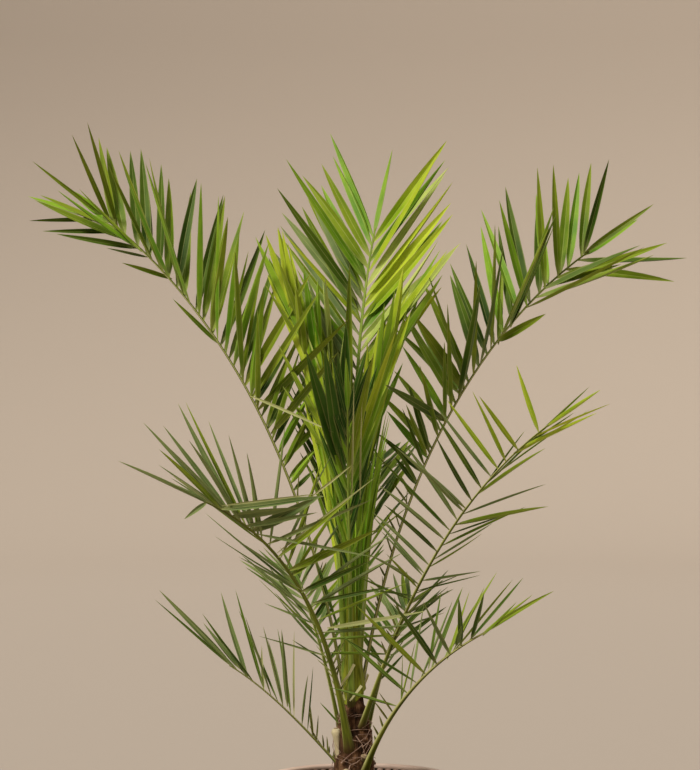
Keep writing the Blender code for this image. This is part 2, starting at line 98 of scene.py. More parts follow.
# A frond, angles in degrees.  Its rib: foot from the trunk's axis, azimuth, lean and roll at foot
# and tip, curl (how late it leans), length, stem (radius) and flare of its foot.  Its leaflets:
# the bare share of the rib, pairs, spread from the rib and lift from its plane at the first and
# the last one, where on the way the spread is reached (knee), size of the longest, its share at
# the first (low), the last pair (top) and the tip (end), pull upwards (up), width, chance of
# each side (keep) and jitter.  Only here: tints of the near side, far side and tip, chance of a
# sister (more), width of the fine blades (fat), and part, as part_axes reads it.
USUAL = dict(
    curl=1.5, roll=(0, 0), bare=0.40, spread=(60, 40), lift=(20, 12), far_spread=None,
    knee=1.0, low=0.5, top=0.72, end=0.65, up=0.0, width=0.012, stem=0.0034, keep=(1.0, 1.0),
    flare=0.55, jitter=6, tints=("dark", "mid"), far_tints=None, tip_tints=None, more=0.3,
    fat=1.0, part=None,
)
FRONDS = {
    "frond_upper_left": dict(
        foot=(-0.0085, 0.0080, 0.385), azimuth=(160, 150), lean=(10, 58), curl=1.3, length=0.870,
        roll=(20, -62), bare=0.37, pairs=22, spread=(66, 30), lift=(60, 12),
        size=0.232, low=0.2, top=0.60, end=0.42, up=0.08, width=0.0160, stem=0.0040, seed=11,
        tints=("mid", "fresh", "mid"), far_tints=("mid", "dark"), more=0.12, fat=1.05,
        part=(1, 0.38, 0.82, 27)),
    "frond_upper_right": dict(
        foot=(0.0055, 0.0105, 0.385), azimuth=(30, 27), lean=(11, 59), curl=1.3, length=0.815,
        roll=(-20, 75), bare=0.39, pairs=21, spread=(64, 42), lift=(60, 12),
        size=0.215, low=0.2, top=0.74, end=0.55, width=0.0155, stem=0.0040, seed=22,
        tints=("mid", "dark", "mid", "fresh"), far_tints=("dark", "mid"), more=0.12, fat=1.05,
        part=(-1, 0.37, 0.69, -25)),
    "frond_middle_left": dict(
        foot=(-0.006, -0.024, 0.330), azimuth=(220, 205), lean=(12, 68), curl=1.6, length=0.450,
        roll=(40, 30), bare=0.30, pairs=17, spread=(122, 2), far_spread=(48, 14), lift=(15, 30),
        size=0.175, top=0.82, end=0.4, up=0.12, width=0.0090, stem=0.0046, keep=(0.95, 0.4),
        jitter=8, seed=33,
        tints=("grey", "grey", "mid"), far_tints=("grey", "mid", "dark"), more=0.2, fat=0.80),
    "frond_middle_right": dict(
        foot=(0.010, -0.018, 0.360), azimuth=(-30, -20), lean=(21, 55), curl=1.7, length=0.535,
        roll=(-30, -40), bare=0.35, pairs=18, spread=(75, 14), far_spread=(75, 70), lift=(20, 20),
        size=0.150, low=0.6, width=0.0090, keep=(0.8, 0.8), jitter=10, seed=44,
        tints=("mid", "dark", "grey"), far_tints=("grey", "dark"),
        tip_tints=("bright", "bright", "mid"), more=0.35, fat=0.85),
    "frond_lower_left": dict(
        foot=(0.000, -0.004, 0.283), azimuth=(190, 190), lean=(42, 59), curl=2.5, length=0.250,
        roll=(0, -20), bare=0.38, pairs=5, spread=(55, 10), lift=(45, 40),
        size=0.150, low=0.6, up=0.25, end=1.0, width=0.0100, jitter=10, seed=55,
        tints=("grey", "dark"), more=0.5, fat=0.52),
    "frond_lower_right": dict(
        foot=(0.012, -0.022, 0.290), azimuth=(-50, -35), lean=(25, 64), curl=0.9, length=0.330,
        roll=(0, 20), bare=0.38, pairs=8, spread=(80, 12), far_spread=(115, 35), lift=(55, 35),
        size=0.145, low=0.75, up=0.15, end=0.9, width=0.0095, stem=0.0050, jitter=9, seed=66,
        tints=("dark", "grey", "dark", "mid"), fat=0.90),
    "frond_centre": dict(
        foot=(-0.0020, 0.0075, 0.415), azimuth=(100, 45), lean=(0, 16), length=0.680,
        bare=0.44, pairs=22, spread=(13, 39), knee=0.5, lift=(5, 5),
        size=0.232, low=0.85, top=0.84, end=0.6, width=0.0145, stem=0.0048, flare=0.1, seed=77,
        # its far side takes the bright and pale tints: painted highlight, the light on that half of
        # the frond
        tints=("mid", "fresh", "mid", "grey"), far_tints=("bright", "pale", "bright", "fresh"),
        more=0.0, fat=1.18),
    "frond_young_left": dict(
        foot=(-0.0110, -0.0030, 0.412), azimuth=(192, 185), lean=(3, 21), curl=2.4, length=0.560,
        roll=(60, 60), bare=0.36, pairs=11, spread=(5, 8), lift=(0, 0), size=0.190, low=0.95,
        top=0.75, width=0.0175, stem=0.0047, flare=0.1, jitter=3, seed=88,
        tints=("bright", "bright", "fresh"), more=0.6),
    "frond_young_right": dict(
        foot=(0.0080, -0.0025, 0.412), azimuth=(-10, -10), lean=(-3, 24), curl=2.0, length=0.500,
        roll=(-50, -50), bare=0.38, pairs=10, spread=(5, 10), lift=(0, 0), size=0.165, low=0.95,
        top=0.90, end=0.85, width=0.0165, stem=0.0046, flare=0.1, jitter=3, seed=99,
        tints=("bright", "fresh", "fresh"), more=0.5),
    "spear_leaf": dict(
        foot=(-0.0014, -0.0060, 0.415), azimuth=(185, 185), lean=(2.5, 5), curl=1.2, length=0.450,
        bare=0.45, pairs=5, spread=(5, 5), lift=(0, 0), size=0.200, low=0.95, top=0.85,
        width=0.013, stem=0.0038, flare=0.1, jitter=2, seed=110,
        tints=("bright", "pale", "mid"), more=0.8),
    "frond_front": dict(
        foot=(-0.0035, -0.0150, 0.395), azimuth=(-96, -90), lean=(5, 42), curl=1.6, length=0.460,
        bare=0.42, pairs=11, spread=(18, 15), lift=(10, 10), size=0.150, low=0.6, top=0.8,
        up=0.1, jitter=5, seed=121,
        # its deep tints are painted shade in the heart of the crown
        tints=("fresh", "deep", "fresh"), far_tints=("deep", "deep", "fresh"), more=0.0, fat=0.85),
    "frond_back_left": dict(
        foot=(-0.0085, 0.0180, 0.375), azimuth=(110, 92), lean=(9, 60), length=0.560,
        bare=0.44, pairs=16, spread=(34, 16), lift=(40, 20), size=0.150, low=0.4, seed=132,
        tints=("dark",), more=0.1),
    "frond_back_right": dict(
        foot=(0.005, 0.0185, 0.375), azimuth=(78, 86), lean=(16, 84), length=0.520,
        bare=0.42, pairs=14, spread=(48, 22), lift=(45, 20), size=0.120, low=0.4, seed=143,
        more=0.1),
    "frond_low_back_left": dict(
        foot=(-0.014, 0.018, 0.320), azimuth=(118, 104), lean=(24, 80), length=0.360,
        bare=0.36, pairs=11, spread=(60, 24), lift=(35, 20), size=0.120, width=0.0105,
        keep=(0.85, 0.85), jitter=10, seed=154,
        tints=("dark", "grey"), more=0.1),
    "frond_low_back_right": dict(
        foot=(0.012, 0.020, 0.310), azimuth=(66, 72), lean=(28, 82), length=0.330,
        bare=0.36, pairs=10, spread=(60, 24), lift=(35, 20), size=0.115, width=0.0105,
        keep=(0.85, 0.85), jitter=10, seed=165,
        tints=("dark", "grey"), more=0.1),
}
BRIGHT_RIBS = (
    "frond_centre", "frond_young_left", "frond_young_right", "spear_leaf", "frond_front",
)
SPINY_FRONDS = (
    "frond_upper_left", "frond_upper_right", "frond_middle_left", "frond_middle_right",
    "frond_lower_left", "frond_lower_right",
)

# ------------------------------------------------------------------ the photo's view

PHOTO_WIDTH = 700
PHOTO_HEIGHT = 770
CAMERA_X = -0.0145
CAMERA_DISTANCE = 3.0
CAMERA_HEIGHT = 0.856
FOCAL_PIXELS = 2069
SENSOR = 36.0

# ------------------------------------------------------------------ sizes of the fine surfaces

# (share of the length, share of the width) along a leaflet, and along a blade of the column
BLADE_OUTLINE = (
    (0.0, 0.20), (0.035, 0.34), (0.10, 0.68), (0.22, 0.93), (0.38, 1.0),
    (0.55, 0.90), (0.71, 0.70), (0.85, 0.43), (0.95, 0.17),
)
STRIP_OUTLINE = (
    (0.0, 0.85), (0.06, 0.95), (0.25, 1.0), (0.50, 1.0), (0.70, 0.86), (0.84, 0.60), (0.94, 0.28),
)
# (across, height above the keel, side of the skin) round a leaflet's section
BLADE_SECTION = (
    (-1.0, 1.0, 0), (-0.5, 0.42, 1), (0.0, 0.0, 1), (0.5, 0.42, 1),
    (1.0, 1.0, 0), (0.5, 0.42, -1), (0.0, -0.06, -1), (-0.5, 0.42, -1),
)
BLADE_SKIN = 0.0005
BLADE_WIDTH = 0.94
# droop and sweep of a leaflet's tip as shares of its length, and its curl in degrees
BLADE_DROOP = (-0.02, 0.06)
BLADE_SWEEP = 0.035
BLADE_CURL = 28
# each leaflet's UV lies in a square of its own, of this many by as many, and fills it nearly
UV_SQUARES = 64
UV_HALF_WIDTH = 0.48
UV_LENGTH = 0.98
UV_TIP = 0.99
# a smaller leaflet of the same cluster: how far beside it starts, its turn in the leaflet's plane
# and lift out of it in degrees, and its shares of length and width
SISTER_SHIFT = (0.0035, 0.0065)
SISTER_TURN = 13
SISTER_LIFT = (6, 16)
SISTER_LENGTH = (0.7, 0.9)
SISTER_WIDTH = (0.6, 0.8)
# where on the blade the tints of the tip begin
TIP_TINT_PLACE = 0.72

# ribs: the upper side is flattened, with a channel that fades towards the tip
RIB_RINGS = 56
RIB_CORNERS = 12
RIB_THICKNESS = 0.92
RIB_UPPER_SIDE = 0.55
RIB_CHANNEL = 0.28
# how fast the streaks of a petiole run along it
RIB_GRAIN = 6
CLASP_REACH = 0.10
CLASP_WIDTH = 1.30
CLASP_THICKNESS = 0.75
# how far a petiole's foot runs on, down its own line and in towards the trunk's axis
FOOT_SINK = (0.020, 0.015)
SPINE_PAIRS = 5
SPINE_START = 0.16
SPINE_LENGTHS = (0.014, 0.045)
SPINE_WIDTH = 0.0032
SPINE_RISE = (10, 60)
SPINE_SPREAD = (35, 60)

# leaflets placed one by one, across their neighbours or in front of the column:
# (tint, width, root, tip, and how far the tip bends across and down, where it does), in pixels
# of the photo; the third number of root and tip is their depth along +Y in metres
CROSSING_STRAY = 25
CROSSING = (
    # low ones: of the left fronds, across the column and between the petioles
    ("straw", 5, (327, 628, -0.055), (427, 611, -0.095), (0, -2)),
    ("straw", 3, (250, 396, 0.069), (334, 433, -0.14), (6, 6)),
    ("straw", 2.6, (312, 497, -0.147), (352, 465, -0.165)),
    ("straw", 2.6, (277, 553, -0.094), (377, 476, -0.185)),
    ("mid", 5.4, (278, 557, -0.094), (352, 497, -0.18), (0, -2)),
    ("grey", 5, (266, 545, -0.1), (374, 499, -0.18)),
    ("grey", 8, (220, 509, -0.134), (326, 496, -0.15)),
    ("straw", 2.4, (222, 506, -0.138), (322, 493, -0.153)),
    ("grey", 12, (252, 531, -0.111), (322, 495, -0.14), (0, -3)),
    ("grey", 9, (232, 516, -0.125), (300, 507, -0.14), (0, -3)),
    ("grey", 6, (244, 526, -0.116), (318, 512, -0.14), (0, -2)),
    ("mid", 8.5, (288, 571, -0.084), (378, 529, -0.14), (0, -3)),
    ("grey", 3.4, (256, 534, -0.108), (375, 557, -0.13)),
    ("mid", 7, (291, 576, -0.08), (326, 549, -0.11), (0, 2)),
    ("dark", 7, (301, 592, -0.075), (369, 561, -0.11)),
    ("dark", 4.6, (312, 603, -0.07), (392, 587, -0.11), (0, 2)),
    ("dark", 4, (316, 560, 0.018), (342, 640, 0.0)),
    ("grey", 5, (207, 502, -0.143), (184, 519, -0.15), (0, 2)),
    ("grey", 3, (294, 581, -0.078), (238, 541, -0.09), (0, 4)),
    ("grey", 2.8, (301, 593, -0.072), (238, 557, -0.085), (0, 4)),
    ("grey", 2.4, (316, 625, -0.058), (264, 603, -0.06), (0, 2)),
    ("grey", 2.4, (328, 657, -0.046), (258, 636, -0.048), (0, 2)),
    ("straw", 2.2, (294, 717, -0.02), (294, 630, -0.01), (2, 0)),
    ("grey", 3, (283, 706, -0.022), (268, 640, -0.012), (-4, 0)),
    ("straw", 2.6, (264, 690, -0.027), (262, 645, -0.01), (3, 0)),
    ("dark", 2, (339, 724, -0.02), (320, 702, -0.02), (0, 1)),
    # towards the column, from the ribs of both upper fronds
    ("mid", 10.5, (244.5, 386, 0.073), (311.5, 272, -0.06)),
    ("mid", 8.5, (252, 398, 0.069), (320, 291, -0.08)),
    ("mid", 9.5, (258, 410, 0.065), (350, 318, -0.1)),
    ("mid", 8, (271, 434, 0.056), (338, 352, -0.12)),
    ("dark", 9.5, (446, 421, 0.084), (384.5, 384, -0.08)),
    ("mid", 12, (464, 389, 0.098), (414, 315, -0.01)),
    ("mid", 8.5, (497, 341, 0.126), (546, 314, 0.08)),
    # the dark heart, whose blades take the deep tint as painted shade, and the young blades in
    # front of the column and left of it
    ("deep", 15, (343, 474, -0.09), (306, 350, -0.215)),
    ("deep", 13, (341, 460, -0.1), (324, 348, -0.225)),
    ("deep", 10, (347, 462, -0.1), (338, 350, -0.215), (2, 0)),
    ("bright", 4, (336, 545, -0.014), (311, 378, -0.06), (-12, 0)),
    ("fresh", 7, (351, 480, -0.094), (408, 306, -0.18)),
    ("bright", 8, (350, 466, -0.104), (396, 330, -0.2)),
    ("mid", 9, (349, 474, -0.098), (374, 352, -0.21), (3.5, 0)),
    ("straw", 2.2, (352, 500, -0.08), (354, 378, -0.21)),
    ("straw", 2, (360, 500, -0.08), (362, 402, -0.18), (2, 0)),
    ("bright", 11, (319, 401.5, -0.014), (277, 228, 0.02), (-6, 0)),
    ("bright", 9, (321, 412, -0.014), (288, 242, 0.01), (-5, 0)),
    ("fresh", 12, (323, 422, -0.014), (303, 264, -0.03), (-4, 0)),
    ("mid", 8, (313, 377, -0.014), (260, 247, 0.02), (-4, 0)),
    ("bright", 4.4, (361, 322, 0.044), (282, 231, 0.0)),
    ("bright", 10, (375, 405, -0.012), (411, 312, -0.05), (3, 0)),
    ("mid", 8.5, (349, 426, -0.016), (350, 263, -0.06), (2, 0)),
    ("deep", 12, (345, 430, -0.018), (346, 322, -0.06)),
    # the fan at the middle left frond's tip, and the lower left frond
    ("grey", 5, (225, 512, -0.131), (143, 422, -0.15), (0, 3.5)),
    ("grey", 5.5, (232, 517, -0.125), (163, 425, -0.12), (0, 3)),
    ("grey", 6.5, (240, 522, -0.12), (178, 403, -0.1), (3, 0)),
    ("mid", 4.5, (247, 528, -0.115), (185, 401, -0.08), (3, 0)),
    ("grey", 4.5, (254, 534, -0.109), (208, 420, -0.06), (2, 0)),
    ("straw", 3.2, (219, 510, -0.134), (172, 474, -0.15), (0, 3)),
    ("grey", 6, (231, 664, -0.035), (159, 590, -0.05)),
    ("grey", 5, (248, 678, -0.03), (221, 592, -0.01), (4, 0)),
    # the centre frond's left side
    ("dark", 9, (357, 300, 0.042), (277, 188, 0.01)),
    ("fresh", 8, (366, 282, 0.054), (286, 159, 0.02)),
    # towards the tips of the upper fronds, the right one first
    ("mid", 6.5, (585.5, 252, 0.2), (654, 204, 0.19)),
    ("dark", 7, (584, 254, 0.2), (609, 159, 0.15)),
    ("mid", 7.5, (558, 276, 0.176), (553, 164, 0.13)),
    ("mid", 7.5, (545, 288, 0.166), (537.5, 167, 0.12)),
    ("fresh", 7.5, (527, 306, 0.15), (499, 200, 0.1)),
    ("mid", 4.2, (105, 218, 0.2), (32, 161, 0.16)),
    ("mid", 5.6, (111, 224, 0.2), (72, 134, 0.06)),
    ("mid", 5.6, (118, 229, 0.2), (87, 122, 0.05)),
    ("dark", 4.8, (106, 219, 0.2), (29, 220.5, 0.16)),
    ("dark", 5.2, (122, 231, 0.2), (42, 231, 0.16)),
    ("dark", 6.4, (139, 248, 0.19), (56, 234, 0.15)),
    ("grey", 3, (148, 257, 0.19), (106, 248, 0.17)),
    ("mid", 4.8, (172, 279, 0.18), (122, 263, 0.15), (0, 1)),
    ("mid", 4.6, (218, 343, 0.12), (173, 299, 0.1)),
)

# the column of upright young blades that stands on the trunk
COLUMN_BLADES = 34
COLUMN_AXIS = (-0.0120, -0.0010)
COLUMN_RADII = (0.0068, 0.0102)
COLUMN_ROOTS = (0.408, 0.462)
COLUMN_LENGTHS = (0.30, 0.43)
COLUMN_WIDTHS = (0.0065, 0.0095)
COLUMN_SPREAD = 0.012
COLUMN_STRAY = 20
# how far the tips fan out, as a share of the length, and of that towards front and back
COLUMN_FAN = 0.115
COLUMN_FAN_DEPTH = 0.5
COLUMN_TINTS = ("fresh", "mid", "fresh", "bright", "mid", "fresh", "mid", "fresh")
# blades that face further left than this, towards the key light, take lighter tints: painted light
# on the column's lit side
COLUMN_LIT_SIDE = -0.75
COLUMN_LIT_TINTS = ("bright", "pale", "bright")

# (height, radius) of the furled leaf bases inside the column
CORE_OUTLINE = (
    (0.407, 0.0168), (0.416, 0.0160), (0.430, 0.0148), (0.455, 0.0134), (0.490, 0.0122),
    (0.540, 0.0108), (0.600, 0.0088), (0.650, 0.0060),
)
CORE_HEM = 0.0125
CORE_HEM_TURN = 45
CORE_CORNERS = 36
CORE_FOLDS = 9
CORE_FOLD_DEPTH = 0.07
CORE_TWIST = 2.0
# the hem, and the shift from the trunk's axis to the column's, end at this share of the height
CORE_FADE = 0.25

# pale papery margins of the sheaths: (degrees, height) of their points, wound round the column
SHEATH_MARGINS = (
    ((-82, 0.4545), (-100, 0.4400), (-128, 0.4257), (-124, 0.4128), (-112, 0.3984)),
    ((-54, 0.4229), (-78, 0.4113), (-104, 0.3984)),
    ((60, 0.450), (92, 0.430), (120, 0.412), (150, 0.400)),
    ((178, 0.440), (150, 0.424), (128, 0.410), (112, 0.402)),
    ((10, 0.436), (32, 0.424), (44, 0.414)),
)
SHEATH_REACH = 0.0232
SHEATH_THICKNESS = 0.0025
SHEATH_STEPS = 4

# bark: old leaf bases wound up the trunk, with strands and lumps over them
BARK_CORNERS = 180
BARK_ROWS = 110
BARK_FLARE_POWER = 1.5
BOOTS = 32
BOOT_LOW = SOIL_TOP + 0.004
BOOT_HIGH = TRUNK_TIP - 0.055
BOOT_HALF_WIDTH = 0.020
BOOT_HALF_HEIGHT = 0.026
BOOT_EDGE = 0.75
BOOT_DEPTH = 0.0042
STRAND_DEPTH = 0.0013
STRAND_SCALES = (16, 30)
LUMP_DEPTH = 0.0018
LUMP_SCALES = (4.4, 18)

# stubs of cut leaves: (share of the length, share of the width) along one, and where they stand
STUB_OUTLINE = (
    (0.0, 1.00), (0.30, 0.80), (0.55, 0.78), (0.75, 1.02), (0.88, 1.12), (0.97, 0.90), (1.0, 0.55),
)
STUB_CORNERS = 10
STUB_DEPTH = 0.80
STUB_SINK = 0.006
STUB_ROUGHNESS = 0.06
STUB_CUT_WIDTH = 0.86
STUB_CUT_RISE = 0.0002
STUB_CUT_DEPTH = 0.0006
FRESH_STUB = dict(angle=203, height=0.318, length=0.042, width=0.0076, lean=7)
OLD_STUBS = 9
OLD_STUB_TURN = 60
OLD_STUB_HEIGHTS = (0.012, 0.070)
OLD_STUB_LENGTHS = (0.010, 0.016)
OLD_STUB_WIDTHS = (0.0045, 0.0065)
OLD_STUB_LEANS = (28, 42)

# threads of old sheaths: loose ones, and thicker ones as ((degrees, height) of points, radius)
THREADS = 60
THREAD_STEPS = 8
THREAD_LOW = SOIL_TOP + 0.012
THREAD_HIGH = TRUNK_TIP - 0.045
THREAD_SLOPE = 0.9
THREAD_SAG = 0.25
THREAD_REACH = (0.02, 0.055)
THREAD_STAND = 0.0018
THREAD_ARCH = 0.0016
THREAD_RADII = (0.00035, 0.0007)
THICK_THREADS = (
    (((-128, 0.312), (-98, 0.326), (-58, 0.341)), 0.0011),
    (((-108, 0.296), (-100, 0.310), (-82, 0.314), (-54, 0.325)), 0.0010),
    (((-84, 0.352), (-66, 0.340), (-56, 0.322)), 0.0009),
    (((40, 0.318), (84, 0.334), (120, 0.330)), 0.0010),
    (((150, 0.300), (184, 0.322), (214, 0.316)), 0.0010),
    (((70, 0.350), (96, 0.336), (140, 0.352)), 0.0009),
)
THICK_THREAD_STEPS = 5
THICK_THREAD_STAND = 0.0005

# potting mix: a bumpy disc that stops short of the wall and drops at its edge, with crumbs on it
SOIL_GAP = 0.0004
SOIL_LEVEL = SOIL_TOP - 0.0035
SOIL_CENTRE = SOIL_TOP - 0.004
SOIL_CORNERS = 120
SOIL_ROWS = 34
SOIL_EDGE_DROP = 0.003
# (height of the relief, turns of the noise per metre), coarse and fine
SOIL_RELIEF = ((0.0030, 55), (0.0016, 210))
CRUMBS = 420
CRUMB_SIZES = (0.0012, 0.0036)
CRUMB_RISE = 0.35
CRUMB_MARGIN = 0.006

# planter: canes that fill this share of half their pitch, wavy and a little out of line
CANES = 74
CANE_ROWS = 22
CANE_CORNERS = 8
CANE_FILL = 0.33
CANE_WIDTHS = (0.94, 1.04)
CANE_WAVE = 0.03
CANE_DRIFT = 0.0005
# (lowest point, highest point, how far in from the wall, depth) of the canes outside and inside
CANE_SIDES = (
    (0.010, POT_HEIGHT - RIM_HEIGHT + 0.002, 0.0022, 0.0024),
    (0.232, POT_HEIGHT - 0.006, 0.0058, 0.0013),
)
TURNED_STEPS = 144
LINER_STEPS = 96

# the stage: a flat round floor, a quarter round, and a wall
STAGE_FLAT = 7.0
STAGE_CURVE = 3.0
STAGE_TOP = 6.0
STAGE_CORNERS = 128
STAGE_ARC_STEPS = 12

# seeds of what is drawn at random; those of blades and spines are added to the frond's own
SEEDS = dict(
    blades=1000, spines=2000, crossing=31, column=47, stubs=21, threads=8, crumbs=5, canes=3,
)

# ------------------------------------------------------------------ colours

# (deep tone, light tone, roughness) of each kind of leaflet
TINTS = {
    # deep: the darkest green, painted shade for the blades in the shaded heart of the crown
    "deep": ((0.015, 0.060, 0.005), (0.072, 0.165, 0.014), 0.50),
    "dark": ((0.031, 0.073, 0.005), (0.112, 0.180, 0.014), 0.50),
    "mid": ((0.100, 0.180, 0.007), (0.270, 0.350, 0.020), 0.46),
    "grey": ((0.092, 0.150, 0.036), (0.250, 0.310, 0.100), 0.60),
    "fresh": ((0.100, 0.250, 0.008), (0.300, 0.480, 0.028), 0.44),
    "bright": ((0.235, 0.385, 0.009), (0.590, 0.700, 0.046), 0.42),
    "straw": ((0.230, 0.250, 0.080), (0.440, 0.440, 0.180), 0.60),
    "pale": ((0.360, 0.470, 0.080), (0.640, 0.720, 0.200), 0.48),
}
LEAF_SPECULAR = 0.12
# a leaflet's tone: shares of its own chance, soft patches and veins, and its rise to the tip
LEAF_OWN_TONE = 0.35
LEAF_OWN_STRETCH = (0.73, 0.61, 1.0)
LEAF_PATCHES = 0.30
LEAF_PATCH_SCALE = 24.0
LEAF_VEINS = 0.35
LEAF_VEIN_STRETCH = (26.0, 4.0, 1.0)
LEAF_RELIEF = (0.35, 0.0006)
LEAF_TONE_RISE = 0.14
LEAF_TONES = (0.44, 0.66)
# straw colour: (where it starts, where it is full, its share) from the keel out, and along
LEAF_STRAW = (0.560, 0.540, 0.200)
LEAF_STRAW_MIX = 0.6
LEAF_MARGIN = (0.38, 0.47, 0.55)
LEAF_KEEL = (0.05, 0.01, 0.55)
LEAF_BASE = (0.16, 0.02, 0.60)
LEAF_DRY_TIP = (0.90, 0.98, 0.50)

# (deep tone, light tone, share of straw in the margins) of the petioles and furled leaves
STALKS = {
    "petiole_olive": ((0.060, 0.075, 0.003), (0.170, 0.195, 0.014), 0.85),
    "petiole_fresh": ((0.150, 0.250, 0.020), (0.380, 0.480, 0.080), 0.50),
    "furled_leaves": ((0.140, 0.165, 0.008), (0.350, 0.385, 0.030), 0.0),
}
STALK_ROUGHNESS = 0.50
STALK_SPECULAR = 0.18
STALK_STREAK_STRETCH = (14.0, 3.0, 1.0)
STALK_RELIEF = (0.3, 0.0008)
STALK_TONES = (0.35, 0.65)
STALK_MARGIN = (0.24, 0.06)
# a petiole turns brown near its foot: where that starts and is full along it, and its share
STALK_FOOT = (0.16, 0.02, 0.85)
STALK_FOOT_BROWN = (0.075, 0.036, 0.014)

# (stops of the colour, scale, stretch, strength and depth of the relief, roughness)
FIBRE_SPECULAR = 0.25
FIBRES = {
    "trunk_bark": (
        ((0.32, (0.016, 0.007, 0.003)), (0.50, (0.078, 0.034, 0.014)),
         (0.70, (0.250, 0.130, 0.062))),
        55.0, (1.6, 1.6, 1.0), 1.0, 0.003, 1.0),
    "stub_skin": (
        ((0.30, (0.42, 0.33, 0.17)), (0.70, (0.74, 0.64, 0.40))),
        60.0, (1.0, 1.0, 0.25), 0.5, 0.001, 0.9),
    "old_stub_skin": (
        ((0.30, (0.15, 0.095, 0.050)), (0.70, (0.40, 0.29, 0.17))),
        60.0, (1.0, 1.0, 0.25), 0.5, 0.001, 0.9),
    "stub_cut": (
        ((0.30, (0.36, 0.25, 0.14)), (0.70, (0.62, 0.48, 0.30))),
        160.0, (1.0, 1.0, 1.0), 0.6, 0.001, 0.9),
    "sheath_edge": (
        ((0.30, (0.62, 0.58, 0.26)), (0.70, (0.86, 0.83, 0.48))),
        90.0, (1.0, 1.0, 0.3), 0.4, 0.0008, 0.7),
    "fibre_threads": (
        ((0.30, (0.22, 0.12, 0.08)), (0.70, (0.56, 0.38, 0.28))),
        45.0, (1.0, 1.0, 1.0), 0.3, 0.0005, 0.9),
    "potting_mix": (
        ((0.30, (0.012, 0.008, 0.005)), (0.55, (0.045, 0.028, 0.018)),
         (0.80, (0.120, 0.080, 0.050))),
        130.0, (1.0, 1.0, 1.0), 0.8, 0.002, 0.95),
    "planter_cane": (
        ((0.32, (0.42, 0.270, 0.200)), (0.68, (0.66, 0.470, 0.370))),
        26.0, (1.6, 1.6, 0.35), 0.35, 0.0010, 0.6),
    "planter_rim": (
        ((0.32, (0.62, 0.440, 0.340)), (0.68, (0.78, 0.590, 0.480))),
        20.0, (1.0, 1.0, 3.0), 0.25, 0.0008, 0.55),
    # painted shade: the liner's dark brown stands for the shade seen through the gaps between the
    # canes
    "planter_shade_liner": (
        ((0.30, (0.050, 0.030, 0.022)), (0.70, (0.110, 0.070, 0.052))),
        60.0, (1.0, 1.0, 0.3), 0.3, 0.0008, 0.8),
}
STAGE_COLOUR = (0.47, 0.395, 0.325, 1.0)
SKY_COLOUR = (1.0, 0.98, 0.95, 1.0)
SKY_STRENGTH = 0.32


def mix(start, end, share):
    return start + (end - start) * share


def turns(count):
    """The angles of equal steps round a full turn."""
    return [2 * math.pi * k / count for k in range(count)]


def heading(angle):
    """The level direction at an angle from +X."""
    return Vector((math.cos(angle), math.sin(angle), 0.0))


def level_side(outward):
    """The level direction to the left of another one."""
    return Vector((-outward.y, outward.x, 0.0))


def turned_about(direction, degrees):
    """A turn about a direction or a named axis."""
    return Matrix.Rotation(math.radians(degrees), 3, direction)


def by_trunk(angle, radius, height):
    """A point at a radius from the trunk's axis."""
    return Vector((TRUNK_X, TRUNK_Y, height)) + heading(angle) * radius


# ------------------------------------------------------------------ the growth rule

def rib_stations(frond):
    """(point, tangent, side, face) along the rib, from its foot to its tip."""
    foot_x, foot_y, foot_z = frond["foot"]
    point = Vector((TRUNK_X + foot_x, TRUNK_Y + foot_y, foot_z))
    step = frond["length"] / RIB_STEPS
    stations = []
    for i in range(RIB_STEPS + 1):
        share = i / RIB_STEPS
        azimuth = math.radians(mix(*frond["azimuth"], share))
        lean = math.radians(mix(*frond["lean"], share ** frond["curl"]))
        outward = heading(azimuth)
        tangent = outward * math.sin(lean) + Vector((0.0, 0.0, math.cos(lean)))
        roll = math.radians(mix(*frond["roll"], share ** RIB_TWIST_POWER))
        side = Matrix.Rotation(roll, 3, tangent) @ level_side(outward)
        stations.append((point.copy(), tangent, side, tangent.cross(side)))
        point += tangent * step
    return stations


def station_at(stations, share):
    place = min(max(share, 0.0), 1.0) * RIB_STEPS
    index = min(int(place), RIB_STEPS - 1)
    rest = place - index
    low, high = stations[index], stations[index + 1]
    point = low[0].lerp(high[0], rest)
    return point, *(low[k].lerp(high[k], rest).normalized() for k in (1, 2, 3))


def rib_radius(frond, share):
    """Thick where the petiole clasps the trunk, then a steady taper to the tip."""
    taper = mix(1.0, RIB_TIP_SHARE, share)
    flare = 1.0 + frond["flare"] * math.exp(-share / RIB_FLARE_REACH)
    return frond["stem"] * taper * flare


def leaflet_share(frond, place):
    """Length of a leaflet as a share of the longest one, by its place along the blade."""
    rise = mix(frond["low"], 1.0, math.sin(min(1.0, place / LEAFLET_RISE) * math.pi / 2))
    fall = mix(1.0, frond["top"], max(0.0, (place - LEAFLET_FALL) / (1.0 - LEAFLET_FALL)))
    return rise * fall


def leaflet_axes(direction, tangent, face, twist):
    """Across and face directions of a leaflet that points along direction."""
    across = tangent - direction * tangent.dot(direction)
    if across.length < 0.1:
        across = face.cross(direction)
    across = Matrix.Rotation(twist, 3, direction) @ across.normalized()
    normal = direction.cross(across)
    if normal.dot(face) < 0.0:
        normal = -normal
    return across, normal


